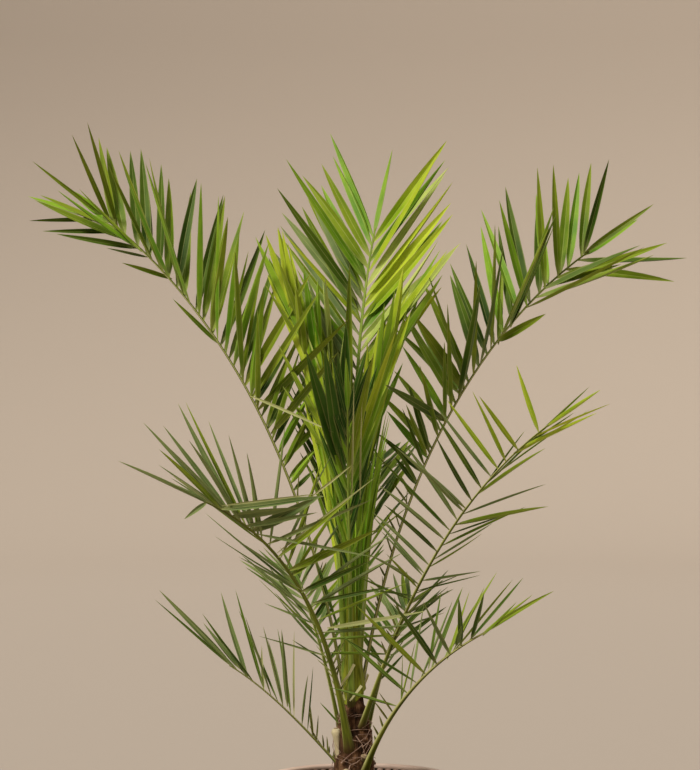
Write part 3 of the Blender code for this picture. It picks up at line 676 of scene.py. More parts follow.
def leaflet_places(frond, stations):
    """Every leaflet of a frond: root, directions to try with their axes, size, side and place."""
    draw = random.Random(frond["seed"])
    places = []
    for index in range(frond["pairs"]):
        for side, keep in zip((1, -1), frond["keep"]):
            stray = draw.uniform(-LEAFLET_STRAY, LEAFLET_STRAY)
            place = (index + 0.5 + LEAFLET_STAGGER * side + stray) / frond["pairs"]
            share = mix(frond["bare"], LAST_LEAFLET, place)
            point, tangent, across, face = station_at(stations, share)
            spread = frond["far_spread"] if side < 0 and frond["far_spread"] else frond["spread"]
            away = mix(*spread, min(1.0, place / frond["knee"]))
            away = math.radians(away + draw.uniform(-1, 1) * frond["jitter"])
            lift = mix(*frond["lift"], place) + draw.uniform(-2, 2) * frond["jitter"]
            twist = math.radians(draw.uniform(-LEAFLET_TWIST, LEAFLET_TWIST))
            length = frond["size"] * leaflet_share(frond, place) * draw.uniform(*LEAFLET_LENGTHS)
            broad = mix(LOW_WIDTH, 1.0, min(1.0, place / FULL_WIDTH_PLACE))
            width = frond["width"] * broad * draw.uniform(*LEAFLET_WIDTHS)
            if draw.random() > keep:
                continue
            tries = []
            for turn in LEAFLET_TURNS:
                rise = math.radians(lift + turn)
                sideways = across * (side * math.cos(rise)) + face * math.sin(rise)
                direction = tangent * math.cos(away) + sideways * math.sin(away)
                direction.z += frond["up"]
                direction.normalize()
                tries.append((direction, *leaflet_axes(direction, tangent, face, twist)))
            places.append((point, tries, length, width, side, place))
    point, tangent, across, face = station_at(stations, LAST_LEAFLET)
    direction = (tangent + Vector((0.0, 0.0, frond["up"]))).normalized()
    last = (direction, *leaflet_axes(direction, tangent, face, 0.0))
    length, width = frond["size"] * frond["end"], frond["width"] * LAST_WIDTH
    places.append((point, [last], length, width, 1, 1.0))
    return places


def leaflet_blank():
    """A three-sided spindle: (station, across, keel) of each corner, and its faces."""
    shape = bmesh.new()
    bmesh.ops.create_uvsphere(shape, u_segments=3, v_segments=3, radius=1.0)
    bmesh.ops.triangulate(shape, faces=shape.faces[:])
    levels = sorted({round(vert.co.z, 3) for vert in shape.verts})
    ring = math.sin(math.pi / 3)
    corners = []
    for vert in shape.verts:
        level = levels.index(round(vert.co.z, 3))
        keel = (vert.co.x / ring + 0.5) / 1.5
        corners.append((level, vert.co.y / ring, keel))
    faces = [tuple(vert.index for vert in face.verts) for face in shape.faces]
    shape.free()
    return corners, faces


def leaflet_points(blank, point, axes, length, width, extra=0.0):
    """The spindle's corners in place, grown by extra all round for a clearance test."""
    direction, across, normal = axes
    points = []
    for level, sideways, keel in blank[0]:
        share = LEAFLET_SHARES[level]
        half = (width / 2 + extra) * share
        deep = (width * LEAFLET_FOLD + extra * 2) * share
        along = length * LEAFLET_STATIONS[level]
        points.append(point + direction * along + across * (sideways * half)
                      + normal * (extra * share - keel * deep))
    return points


def rod_tree(frond, stations):
    """A search tree of the plain tapering rod that stands for the rib in the clearance test."""
    curve = bpy.data.curves.new("rod", "CURVE")
    curve.dimensions = "3D"
    curve.bevel_depth = RIB_UNIT
    curve.bevel_resolution = 0
    curve.use_fill_caps = True
    picked = range(0, RIB_STEPS + 1, RIB_SPACING)
    spline = curve.splines.new("POLY")
    spline.points.add(len(picked) - 1)
    for spot, index in zip(spline.points, picked):
        spot.co = (*stations[index][0], 1.0)
        spot.radius = rib_radius(frond, index / RIB_STEPS) / RIB_UNIT
    rod = new_object("rod", curve)
    depsgraph = bpy.context.evaluated_depsgraph_get()
    mesh = bpy.data.meshes.new_from_object(rod.evaluated_get(depsgraph))
    tree = mesh_tree(mesh)
    bpy.data.meshes.remove(mesh)
    bpy.data.objects.remove(rod, do_unlink=True)
    bpy.data.curves.remove(curve)
    return tree


def mesh_tree(mesh):
    points = [vertex.co for vertex in mesh.vertices]
    faces = [tuple(polygon.vertices) for polygon in mesh.polygons]
    return BVHTree.FromPolygons(points, faces)


def grow_leaflets(frond, stations, blank, taken):
    """The leaflets that find a clear place: (root, axes, length, width, side, place)."""
    grown = []
    for point, tries, length, width, side, place in leaflet_places(frond, stations):
        for axes in tries:
            fat = leaflet_points(blank, point, axes, length, width, LEAFLET_CLEARANCE)
            tree = BVHTree.FromPolygons(fat, blank[1])
            if not any(tree.overlap(other) for other in taken):
                grown.append((point, axes, length, width, side, place))
                break
    return grown


def grow_plant():
    """Ribs and leaflets of every frond, by the rule that the solids were grown by."""
    fronds = {name: {**USUAL, **values} for name, values in FRONDS.items()}
    stations = {name: rib_stations(frond) for name, frond in fronds.items()}
    rods = {name: rod_tree(frond, stations[name]) for name, frond in fronds.items()}
    blank = leaflet_blank()
    taken = [mesh_tree(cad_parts[name].data) for name in ("pot", "soil", "trunk")]
    leaflets = {}
    for name, frond in fronds.items():
        others = [tree for other, tree in rods.items() if other != name]
        leaflets[name] = grow_leaflets(frond, stations[name], blank, taken + others)
        for point, axes, length, width, side, place in leaflets[name]:
            points = leaflet_points(blank, point, axes, length, width)
            taken.append(BVHTree.FromPolygons(points, blank[1]))
    return fronds, stations, leaflets


# ------------------------------------------------------------------ meshes

class Sheaf:
    """Points and faces of many small shapes that become one mesh."""

    def __init__(self):
        self.points = []
        self.faces = []
        self.marks = []

    def loft(self, rows, tip=None, foot=True, top=True):
        """Joins rows of (points, their UVs), and closes its foot and its top, or ends in a tip."""
        first = len(self.points)
        count = len(rows[0][0])
        for points, marks in rows:
            self.points += points
            self.marks += marks
        last = first + (len(rows) - 1) * count
        for low in range(first, last, count):
            self.band(low, low + count, count)
        if tip is not None:
            point, mark = tip
            peak = len(self.points)
            self.points.append(point)
            self.marks.append(mark)
            self.faces += [(last + k, last + (k + 1) % count, peak) for k in range(count)]
        elif top:
            self.faces.append(tuple(range(last, last + count)))
        if foot:
            self.faces.append(tuple(reversed(range(first, first + count))))

    def band(self, low, high, count):
        """A row of faces between two rings of points."""
        for k in range(count):
            after = (k + 1) % count
            self.faces.append((low + k, low + after, high + after, high + k))


def sheaf_mesh(name, sheaf, smooth):
    mesh = bpy.data.meshes.new(name)
    mesh.from_pydata(sheaf.points, [], sheaf.faces)
    layer = mesh.uv_layers.new(name="along")
    corners = np.empty(len(mesh.loops), dtype=np.int32)
    mesh.loops.foreach_get("vertex_index", corners)
    layer.data.foreach_set("uv", np.array(sheaf.marks, dtype=np.float32)[corners].ravel())
    shape = bmesh.new()
    shape.from_mesh(mesh)
    bmesh.ops.recalc_face_normals(shape, faces=shape.faces[:])
    shape.to_mesh(mesh)
    shape.free()
    mesh.shade_smooth()
    mesh.set_sharp_from_angle(angle=math.radians(smooth))
    return mesh


def new_object(name, data):
    thing = bpy.data.objects.new(name, data)
    bpy.context.scene.collection.objects.link(thing)
    return thing


def place_piece(name, mesh, material, nodes=()):
    mesh.materials.append(material)
    piece = new_object(name, mesh)
    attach(piece, "root")
    if nodes:
        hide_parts(*nodes)


def make_piece(name, sheaf, material, nodes=(), smooth=40):
    place_piece(name, sheaf_mesh(name, sheaf, smooth), material, nodes)


# ------------------------------------------------------------------ materials

class Skin:
    """A material, with short ways to add the nodes of its colour and relief."""

    def __init__(self, name, roughness, specular):
        self.material = bpy.data.materials.new(name)
        self.material.use_nodes = True
        self.tree = self.material.node_tree
        self.shader = self.tree.nodes["Principled BSDF"]
        self.shader.inputs["Roughness"].default_value = roughness
        self.shader.inputs["Specular IOR Level"].default_value = specular
        self.place = self.node("TexCoord", {})

    def node(self, kind, inputs, **settings):
        """A node of a kind: a socket among its inputs is linked, and a value is set."""
        node = self.tree.nodes.new("ShaderNode" + kind)
        for key, value in settings.items():
            setattr(node, key, value)
        for key, value in inputs.items():
            if isinstance(value, bpy.types.NodeSocket):
                self.tree.links.new(value, node.inputs[key])
            else:
                node.inputs[key].default_value = value
        return node

    def noise(self, space, scale, detail, stretch=(1.0, 1.0, 1.0)):
        stretched = self.node("Mapping", {"Vector": self.place.outputs[space], "Scale": stretch})
        inputs = {"Vector": stretched.outputs["Vector"], "Scale": scale, "Detail": detail}
        return self.node("TexNoise", inputs).outputs["Fac"]

    def uv(self):
        split = self.node("SeparateXYZ", {"Vector": self.place.outputs["UV"]})
        return split.outputs["X"], split.outputs["Y"]

    def ramp(self, factor, stops):
        node = self.node("ValToRGB", {"Fac": factor})
        elements = node.color_ramp.elements
        for element, (position, colour) in zip(elements, (stops[0], stops[-1])):
            element.position, element.color = position, (*colour, 1.0)
        for position, colour in stops[1:-1]:
            elements.new(position).color = (*colour, 1.0)
        return node.outputs["Color"]

    def maths(self, operation, *operands):
        return self.node("Math", dict(enumerate(operands)), operation=operation).outputs["Value"]

    def span(self, value, start, full, top):
        """0 at start, rising to top where it is full; start may be above full."""
        inputs = {"Value": value, "From Min": start, "From Max": full, "To Max": top}
        return self.node("MapRange", inputs).outputs["Result"]

    def blend(self, share, under, colour):
        """The colour of a socket, with a plain one over it by a share."""
        inputs = {"Factor": share, 6: under, 7: (*colour, 1.0)}
        return self.node("Mix", inputs, data_type="RGBA").outputs[2]

    def finish(self, colour, height, strength, distance):
        """Links the colour, and the relief that a height gives."""
        relief = self.node("Bump", {"Height": height, "Strength": strength, "Distance": distance})
        self.tree.links.new(relief.outputs["Normal"], self.shader.inputs["Normal"])
        self.tree.links.new(colour, self.shader.inputs["Base Color"])
        return self.material


def leaf_material(tint):
    """Leaf green with veins and a soft patchy tone, straw-coloured at its base and margins.

    Each leaflet's UV lies in a square of its own: across it, then along it.
    """
    low, high, roughness = TINTS[tint]
    skin = Skin("leaflet_" + tint, roughness, LEAF_SPECULAR)
    own = skin.noise("UV", 1.0, 0.0, LEAF_OWN_STRETCH)
    patches = skin.noise("Object", LEAF_PATCH_SCALE, 3.0)
    veins = skin.noise("UV", 1.0, 3.0, LEAF_VEIN_STRETCH)
    u, v = skin.uv()
    across, along = skin.maths("FRACT", u), skin.maths("FRACT", v)
    tone = skin.maths("MULTIPLY", patches, LEAF_PATCHES)
    tone = skin.maths("MULTIPLY_ADD", veins, LEAF_VEINS, tone)
    tone = skin.maths("MULTIPLY_ADD", own, LEAF_OWN_TONE, tone)
    tone = skin.maths("MULTIPLY_ADD", along, LEAF_TONE_RISE, tone)
    green = skin.ramp(tone, tuple(zip(LEAF_TONES, (low, high))))

    off_keel = skin.maths("ABSOLUTE", skin.maths("SUBTRACT", across, 0.5))
    straw = skin.span(off_keel, *LEAF_MARGIN)
    for share in (skin.span(off_keel, *LEAF_KEEL), skin.span(along, *LEAF_BASE),
                  skin.span(along, *LEAF_DRY_TIP)):
        straw = skin.maths("MAXIMUM", straw, share)
    pale = [mix(light, dry, LEAF_STRAW_MIX) for light, dry in zip(high, LEAF_STRAW)]
    return skin.finish(skin.blend(straw, green, pale), veins, *LEAF_RELIEF)


def stalk_material(name):
    """Petiole skin: green with streaks along it, pale margins and a brown foot."""
    low, high, margin = STALKS[name]
    skin = Skin(name, STALK_ROUGHNESS, STALK_SPECULAR)
    streaks = skin.noise("UV", 1.0, 4.0, STALK_STREAK_STRETCH)
    green = skin.ramp(streaks, tuple(zip(STALK_TONES, (low, high))))
    u, v = skin.uv()
    turn = skin.maths("ADD", skin.maths("MULTIPLY", u, 2.0), 0.5)
    edge = skin.maths("ABSOLUTE", skin.maths("SUBTRACT", skin.maths("FRACT", turn), 0.5))
    colour = skin.blend(skin.span(edge, *STALK_MARGIN, margin), green, LEAF_STRAW)
    colour = skin.blend(skin.span(v, *STALK_FOOT), colour, STALK_FOOT_BROWN)
    return skin.finish(colour, streaks, *STALK_RELIEF)


def fibre_material(name):
    """Dry fibrous matter: colour and relief from one stretched grain."""
    stops, scale, stretch, strength, depth, roughness = FIBRES[name]
    skin = Skin(name, roughness, FIBRE_SPECULAR)
    grain = skin.noise("Object", scale, 6.0, stretch)
    return skin.finish(skin.ramp(grain, stops), grain, strength, depth)


# ------------------------------------------------------------------ leaflets and ribs

def add_blade(sheaf, root, axes, length, width, draw, bend=None, outline=BLADE_OUTLINE):
    """One leaflet: a folded tapering blade that bends and curls a little on its own."""
    direction, across, normal = axes
    if bend is None:
        bend = across * (draw.uniform(-BLADE_SWEEP, BLADE_SWEEP) * length)
        bend.z -= draw.uniform(*BLADE_DROOP) * length
    curl = draw.uniform(-BLADE_CURL, BLADE_CURL)
    column, row = draw.randrange(UV_SQUARES) + 0.5, draw.randrange(UV_SQUARES)
    rows = []
    for along, share in outline:
        centre = root + direction * (along * length) + bend * (along * along)
        turn = turned_about(direction, curl * along)
        wide, up = turn @ across, turn @ normal
        half = width / 2 * share
        deep = width * LEAFLET_FOLD * share
        ring = [centre + wide * (a * half) + up * ((h - 1.0) * deep + skin * BLADE_SKIN / 2)
                for a, h, skin in BLADE_SECTION]
        marks = [(column + UV_HALF_WIDTH * a, row + UV_LENGTH * along)
                 for a, h, skin in BLADE_SECTION]
        rows.append((ring, marks))
    sheaf.loft(rows, (root + direction * length + bend, (column, row + UV_TIP)))


def pick_tint(frond, side, place, draw):
    tints = frond["far_tints"] if side < 0 and frond["far_tints"] else frond["tints"]
    if place > TIP_TINT_PLACE and frond["tip_tints"]:
        tints = frond["tip_tints"]
    return draw.choice(tints)


def part_axes(frond, axes, side, place):
    """Swings the leaflets that would lie along the rib clear of it.

    A frond's part gives their side, the places where they start and end, and the swing.
    """
    if frond["part"] is None:
        return axes
    part_side, start, end, degrees = frond["part"]
    if side != part_side or not start < place < end:
        return axes
    swing = turned_about("Y", degrees)
    return tuple(swing @ axis for axis in axes)


def add_leaflets(frond, leaflets, sheaves, name):
    """The frond's fine leaflets, and smaller ones of the same cluster beside some of them."""
    draw = random.Random(frond["seed"] + SEEDS["blades"])
    for root, axes, length, width, side, place in leaflets:
        axes = part_axes(frond, axes, side, place)
        tint = pick_tint(frond, side, place, draw)
        sheaf, nodes = sheaves[tint]
        nodes.add(name)
        add_blade(sheaf, root, axes, length, width * BLADE_WIDTH * frond["fat"], draw)
        if draw.random() < frond["more"]:
            across, normal = axes[1:]
            shift = draw.choice((-1, 1)) * draw.uniform(*SISTER_SHIFT)
            turn = turned_about(normal, draw.uniform(-SISTER_TURN, SISTER_TURN))
            near = turn @ turned_about(across, draw.uniform(*SISTER_LIFT))
            sister = [near @ axis for axis in axes]
            sheaf, nodes = sheaves[draw.choice((tint, "mid"))]
            nodes.add(name)
            add_blade(sheaf, root + across * shift, sister, length * draw.uniform(*SISTER_LENGTH),
                      width * draw.uniform(*SISTER_WIDTH), draw)


def add_rib(sheaf, frond, stations):
    """Petiole and rib: rounded below, flatter and channelled above, wide where it clasps."""
    rows = []
    for step in range(-1, RIB_RINGS + 1):
        share = max(0, step) / RIB_RINGS
        point, tangent, side, face = station_at(stations, share)
        if step < 0:
            inward = Vector((TRUNK_X - point.x, TRUNK_Y - point.y, 0.0)).normalized()
            point = point - tangent * FOOT_SINK[0] + inward * FOOT_SINK[1]
        radius = rib_radius(frond, share)
        clasp = math.exp(-share / CLASP_REACH)
        wide = radius * mix(1.0, CLASP_WIDTH, clasp)
        thick = radius * mix(RIB_THICKNESS, CLASP_THICKNESS, clasp)
        ring = []
        for turn in turns(RIB_CORNERS):
            across, up = math.cos(turn), math.sin(turn)
            if up > 0:
                channel = RIB_CHANNEL * (1 - share) * (1 - across * across)
                up = up * RIB_UPPER_SIDE - channel
            ring.append(point + side * (across * wide) + face * (up * thick))
        along = share * frond["length"] * RIB_GRAIN
        rows.append((ring, [(k / RIB_CORNERS, along) for k in range(RIB_CORNERS)]))
    sheaf.loft(rows)


def add_spines(sheaf, frond, stations):
    """Short stiff spines on the petiole, longer towards the first true leaflets."""
    draw = random.Random(frond["seed"] + SEEDS["spines"])
    for index in range(SPINE_PAIRS):
        for side in (1, -1):
            place = (index + draw.uniform(0.2, 0.8)) / SPINE_PAIRS
            share = mix(SPINE_START, frond["bare"], place)
            point, tangent, across, face = station_at(stations, share)
            rise = math.radians(draw.uniform(*SPINE_RISE))
            sideways = across * (side * math.cos(rise)) + face * math.sin(rise)
            away = math.radians(draw.uniform(*SPINE_SPREAD))
            direction = (tangent * math.cos(away) + sideways * math.sin(away)).normalized()
            length = mix(*SPINE_LENGTHS, index / (SPINE_PAIRS - 1)) * draw.uniform(0.8, 1.2)
            axes = (direction, *leaflet_axes(direction, tangent, face, 0.0))
            add_blade(sheaf, point, axes, length, SPINE_WIDTH, draw)


def photo_point(across, down, depth):
    """The point, to the millimetre, that the photo shows at a pixel, at a depth along +Y."""
    scale = (CAMERA_DISTANCE + depth) / FOCAL_PIXELS
    x = CAMERA_X + (across - PHOTO_WIDTH / 2) * scale
    z = CAMERA_HEIGHT - (down - PHOTO_HEIGHT / 2) * scale
    return Vector((round(x, 3), depth, round(z, 3)))


def add_crossing(sheaves):
    """The leaflets that are placed one by one, from their list."""
    draw = random.Random(SEEDS["crossing"])
    for tint, width, root, tip, *bends in CROSSING:
        scale = (CAMERA_DISTANCE + (root[2] + tip[2]) / 2) / FOCAL_PIXELS
        bend_across, bend_down = bends[0] if bends else (0, 0)
        bend = Vector((round(bend_across * scale, 3), 0.0, round(-bend_down * scale, 3)))
        root = photo_point(*root)
        way = photo_point(*tip) - bend - root
        direction = way.normalized()
        across = direction.cross(Vector((0.0, -1.0, 0.0))).normalized()
        across = turned_about(direction, draw.uniform(-CROSSING_STRAY, CROSSING_STRAY)) @ across
        axes = (direction, across, across.cross(direction))
        add_blade(sheaves[tint][0], root, axes, way.length, round(width * scale, 4), draw, bend)


def add_column(sheaves):
    """The column of upright young blades, which opens into a fan above the trunk."""
    draw = random.Random(SEEDS["column"])
    for index in range(COLUMN_BLADES):
        outward = heading(math.radians(index * TURN_OF_GROWTH))
        height = draw.uniform(*COLUMN_ROOTS)
        radius = draw.uniform(*COLUMN_RADII)
        root = Vector((*COLUMN_AXIS, height)) + outward * radius
        length = draw.uniform(*COLUMN_LENGTHS)
        direction = (Vector((0.0, 0.0, 1.0)) + outward * COLUMN_SPREAD).normalized()
        across = outward.cross(direction).normalized()
        across = turned_about(direction, draw.uniform(-COLUMN_STRAY, COLUMN_STRAY)) @ across
        axes = (direction, across, direction.cross(across))
        fan = COLUMN_FAN * length
        bend = Vector((outward.x, outward.y * COLUMN_FAN_DEPTH, 0.0)) * fan
        tint = COLUMN_TINTS[index % len(COLUMN_TINTS)]
        # painted light: blades that face the key light on the left take lighter tints
        if outward.x < COLUMN_LIT_SIDE:
            tint = draw.choice(COLUMN_LIT_TINTS)
        add_blade(sheaves[tint][0], root, axes, length, draw.uniform(*COLUMN_WIDTHS), draw, bend,
                  STRIP_OUTLINE)


def build_core():
    """The furled leaf bases inside the column: a ridged one that narrows upwards."""
    rows = []
    foot, top = CORE_OUTLINE[0][0], CORE_OUTLINE[-1][0]
    for height, radius in CORE_OUTLINE:
        share = (height - foot) / (top - foot)
        fade = min(1.0, share / CORE_FADE)
        centre = Vector((
            mix(TRUNK_X, COLUMN_AXIS[0], fade), mix(TRUNK_Y, COLUMN_AXIS[1], fade), height))
        ring = []
        for angle in turns(CORE_CORNERS):
            fold = CORE_FOLD_DEPTH * math.cos(CORE_FOLDS * angle + share * CORE_TWIST)
            hem = CORE_HEM * (1.0 - fade) * math.cos(angle - math.radians(CORE_HEM_TURN))
            ring.append(centre + heading(angle) * (radius * (1.0 + fold)) + Vector((0, 0, hem)))
        marks = [(k / CORE_CORNERS * 2.0, 1.0 + share * 3.0) for k in range(CORE_CORNERS)]
        rows.append((ring, marks))
    sheaf = Sheaf()
    sheaf.loft(rows)
    make_piece("furled_leaves", sheaf, stalk_material("furled_leaves"), smooth=60)


def build_foliage():
    fronds, stations, leaflets = grow_plant()
    sheaves = {tint: (Sheaf(), set()) for tint in TINTS}
    for name, frond in fronds.items():
        add_leaflets(frond, leaflets[name], sheaves, name)
    add_crossing(sheaves)
    add_column(sheaves)
    for tint, (sheaf, nodes) in sheaves.items():
        make_piece("leaflets_" + tint, sheaf, leaf_material(tint), sorted(nodes))

    ripe, young, spines = Sheaf(), Sheaf(), Sheaf()
    for name, frond in fronds.items():
        add_rib(young if name in BRIGHT_RIBS else ripe, frond, stations[name])
        if name in SPINY_FRONDS:
            add_spines(spines, frond, stations[name])
    ripe_nodes = [name for name in fronds if name not in BRIGHT_RIBS]
    olive, fresh = stalk_material("petiole_olive"), stalk_material("petiole_fresh")
    make_piece("petioles_and_ribs", ripe, olive, ripe_nodes, smooth=60)
    make_piece("young_petioles", young, fresh, BRIGHT_RIBS, smooth=60)
    make_piece("petiole_spines", spines, olive)


# ------------------------------------------------------------------ trunk

def trunk_radius(height):
    """Radius of the swollen base at a height, with the flare at its foot."""
    share = (TRUNK_TIP - height) / (TRUNK_TIP - SOIL_TOP)
    shoulder = TRUNK_SHOULDERS[-1][0]
    if share >= shoulder:
        flare = (share - shoulder) / (1.0 - shoulder)
        return mix(TRUNK_RADIUS, TRUNK_FOOT_RADIUS, min(1.0, flare) ** BARK_FLARE_POWER)
    for (low, first), (high, second) in zip(TRUNK_SHOULDERS, TRUNK_SHOULDERS[1:]):
        if share <= high:
            swell = mix(first, second, max(0.0, share - low) / (high - low))
            return mix(TRUNK_TIP_RADIUS, TRUNK_RADIUS, swell)
    return TRUNK_RADIUS


def boot_places():
    """Angle and height of each old leaf base, wound up the trunk."""
    return [
        (math.radians(index * TURN_OF_GROWTH), mix(BOOT_LOW, BOOT_HIGH, index / (BOOTS - 1)))
        for index in range(BOOTS)
    ]


def boot_relief(angle, height, boots):
    """Share of relief of the old leaf bases: overlapping shields, sharp at their tops."""
    best = 0.0
    for boot_angle, boot_height in boots:
        turn = (angle - boot_angle + math.pi) % (2 * math.pi) - math.pi
        sideways = turn * TRUNK_RADIUS / BOOT_HALF_WIDTH
        upward = (height - boot_height) / BOOT_HALF_HEIGHT
        if abs(sideways) > 1.0 or abs(upward) > 1.0:
            continue
        shield = (1.0 - sideways * sideways) * (0.5 + 0.5 * upward)
        edge = min(1.0, (1.0 - upward) / (1.0 - BOOT_EDGE))
        best = max(best, shield * edge)
    return best


def bark_noise(angle, height, around, up):
    """Noise of two scales, round the trunk and up it."""
    return noise.noise(heading(angle) * around + Vector((0.0, 0.0, height * up)))


def build_trunk():
    boots = boot_places()
    rows = []
    for row in range(BARK_ROWS + 1):
        height = mix(SOIL_TOP + BARK_GAP, BARK_TOP, row / BARK_ROWS)
        ring = []
        for angle in turns(BARK_CORNERS):
            relief = (BOOT_DEPTH * boot_relief(angle, height, boots)
                      + STRAND_DEPTH * bark_noise(angle, height, *STRAND_SCALES)
                      + LUMP_DEPTH * bark_noise(angle, height, *LUMP_SCALES))
            ring.append(by_trunk(angle, trunk_radius(height) - BARK_INSET + relief, height))
        rows.append((ring, [(k / BARK_CORNERS, height) for k in range(BARK_CORNERS)]))
    sheaf = Sheaf()
    sheaf.loft(rows)
    bark = fibre_material("trunk_bark")
    make_piece("trunk_bark", sheaf, bark, ["trunk"], smooth=70)


def add_stub(sheaf, ends, draw, angle, height, length, width, lean):
    """A cut leaf base: a flattened block that leans out of the trunk, with a paler cut end."""
    outward = heading(math.radians(angle))
    side = level_side(outward)
    lean = math.radians(lean)
    axis = outward * math.sin(lean) + Vector((0.0, 0.0, math.cos(lean)))
    up = axis.cross(side)
    foot = by_trunk(math.radians(angle), trunk_radius(height) - STUB_SINK, height)
    rows = []
    for along, swell in STUB_OUTLINE:
        ring = []
        for turn in turns(STUB_CORNERS):
            reach = width * swell * (1.0 + draw.uniform(-STUB_ROUGHNESS, STUB_ROUGHNESS))
            ring.append(foot + axis * (length * along) + side * (math.cos(turn) * reach)
                        + up * (math.sin(turn) * reach * STUB_DEPTH))
        rows.append((ring, [(k / STUB_CORNERS, along) for k in range(STUB_CORNERS)]))
    sheaf.loft(rows)
    end = foot + axis * length
    ring, marks = rows[-1]
    low = [end + axis * STUB_CUT_RISE + (point - end) * STUB_CUT_WIDTH for point in ring]
    high = [point + axis * STUB_CUT_DEPTH for point in low]
    ends.loft([(low, marks), (high, marks)])


def build_stubs():
    draw = random.Random(SEEDS["stubs"])
    fresh, old, ends = Sheaf(), Sheaf(), Sheaf()
    add_stub(fresh, ends, draw, **FRESH_STUB)
    for index in range(OLD_STUBS):
        angle = index * TURN_OF_GROWTH + OLD_STUB_TURN
        height = SOIL_TOP + mix(*OLD_STUB_HEIGHTS, index / (OLD_STUBS - 1))
        length, width = draw.uniform(*OLD_STUB_LENGTHS), draw.uniform(*OLD_STUB_WIDTHS)
        add_stub(old, ends, draw, angle, height, length, width, draw.uniform(*OLD_STUB_LEANS))
    make_piece("fresh_stub", fresh, fibre_material("stub_skin"), smooth=50)
    make_piece("leaf_base_stubs", old, fibre_material("old_stub_skin"), smooth=50)
    make_piece("leaf_base_cuts", ends, fibre_material("stub_cut"), smooth=30)


def add_strand(sheaf, points, radius):
    """A thin three-sided thread through the points, half as thick at its end."""
    rows = []
    for index, point in enumerate(points):
        before = points[max(0, index - 1)]
        after = points[min(len(points) - 1, index + 1)]
        tangent = (after - before).normalized()
        side = tangent.orthogonal().normalized()
        other = tangent.cross(side)
        thin = radius * (1.0 - 0.5 * index / (len(points) - 1))
        ring = [point + (side * math.cos(turn) + other * math.sin(turn)) * thin
                for turn in turns(3)]
        rows.append((ring, [(0.5, index / len(points))] * 3))
    sheaf.loft(rows)


def wound_points(line, steps, axis, reach):
    """Points along a line of (degrees, height) corners, at reach(height) from an upright axis."""
    points = []
    for (start, low), (end, high) in zip(line, line[1:]):
        for step in range(steps):
            angle = math.radians(mix(start, end, step / steps))
            height = mix(low, high, step / steps)
            points.append(Vector((*axis, height)) + heading(angle) * reach(height))
    return points


def build_sheath_margins():
    sheaf = Sheaf()
    for line in SHEATH_MARGINS:
        points = wound_points(line, SHEATH_STEPS, COLUMN_AXIS, lambda height: SHEATH_REACH)
        add_strand(sheaf, points, SHEATH_THICKNESS)
    make_piece("sheath_margins", sheaf, fibre_material("sheath_edge"))


def thread_points(draw):
    """A loose thread: it starts anywhere on the trunk, slopes, sags and stands off a little."""
    angle = draw.uniform(0, 2 * math.pi)
    start = draw.uniform(THREAD_LOW, THREAD_HIGH)
    slope = draw.uniform(-THREAD_SLOPE, THREAD_SLOPE)
    reach = draw.uniform(*THREAD_REACH)
    stand = draw.uniform(0.0, THREAD_STAND)
    level = math.sqrt(max(0.05, 1 - slope * slope))
    points = []
    for step in range(THREAD_STEPS + 1):
        share = step / THREAD_STEPS
        along = reach * share
        height = start + along * slope - THREAD_SAG * along * share
        height = max(height, SOIL_TOP + 0.003)
        lift = stand + THREAD_ARCH * math.sin(share * math.pi) * draw.uniform(0.5, 1.0)
        radius = trunk_radius(min(height, TRUNK_TIP)) + lift
        points.append(by_trunk(angle + along * level / TRUNK_RADIUS, radius, height))
    return points


def build_threads():
    """Threads of old leaf sheaths, wound about the trunk."""
    draw = random.Random(SEEDS["threads"])
    sheaf = Sheaf()
    for index in range(THREADS):
        add_strand(sheaf, thread_points(draw), draw.uniform(*THREAD_RADII))
    for line, radius in THICK_THREADS:
        points = wound_points(line, THICK_THREAD_STEPS, (TRUNK_X, TRUNK_Y),
                              lambda height: trunk_radius(height) + THICK_THREAD_STAND)
        add_strand(sheaf, points, radius)
    threads = fibre_material("fibre_threads")
    make_piece("sheath_fibres", sheaf, threads, smooth=80)


# ------------------------------------------------------------------ soil and planter

def wall_radius(height):
    return mix(POT_FOOT_RADIUS, POT_RIM_RADIUS - RIM_OVERHANG, height / POT_HEIGHT)


def add_crumb(shape, draw, reach):
    """One crumb of the potting mix, half sunk in its surface."""
    outward = heading(draw.uniform(0, 2 * math.pi))
    radius = reach * math.sqrt(draw.uniform(0.05, 1.0))
    size = draw.uniform(*CRUMB_SIZES)
    place = outward * radius + Vector((0.0, 0.0, SOIL_LEVEL + size * CRUMB_RISE))
    turn = draw.uniform(0, math.pi)
    turn = Matrix.Rotation(turn, 4, Vector((draw.random(), draw.random(), 1.0)))
    squash = Matrix.Diagonal((draw.uniform(0.8, 1.7), 1.0, draw.uniform(0.5, 0.9), 1.0))
    matrix = Matrix.Translation(place) @ turn @ squash
    bmesh.ops.create_icosphere(shape, subdivisions=1, radius=size, matrix=matrix)


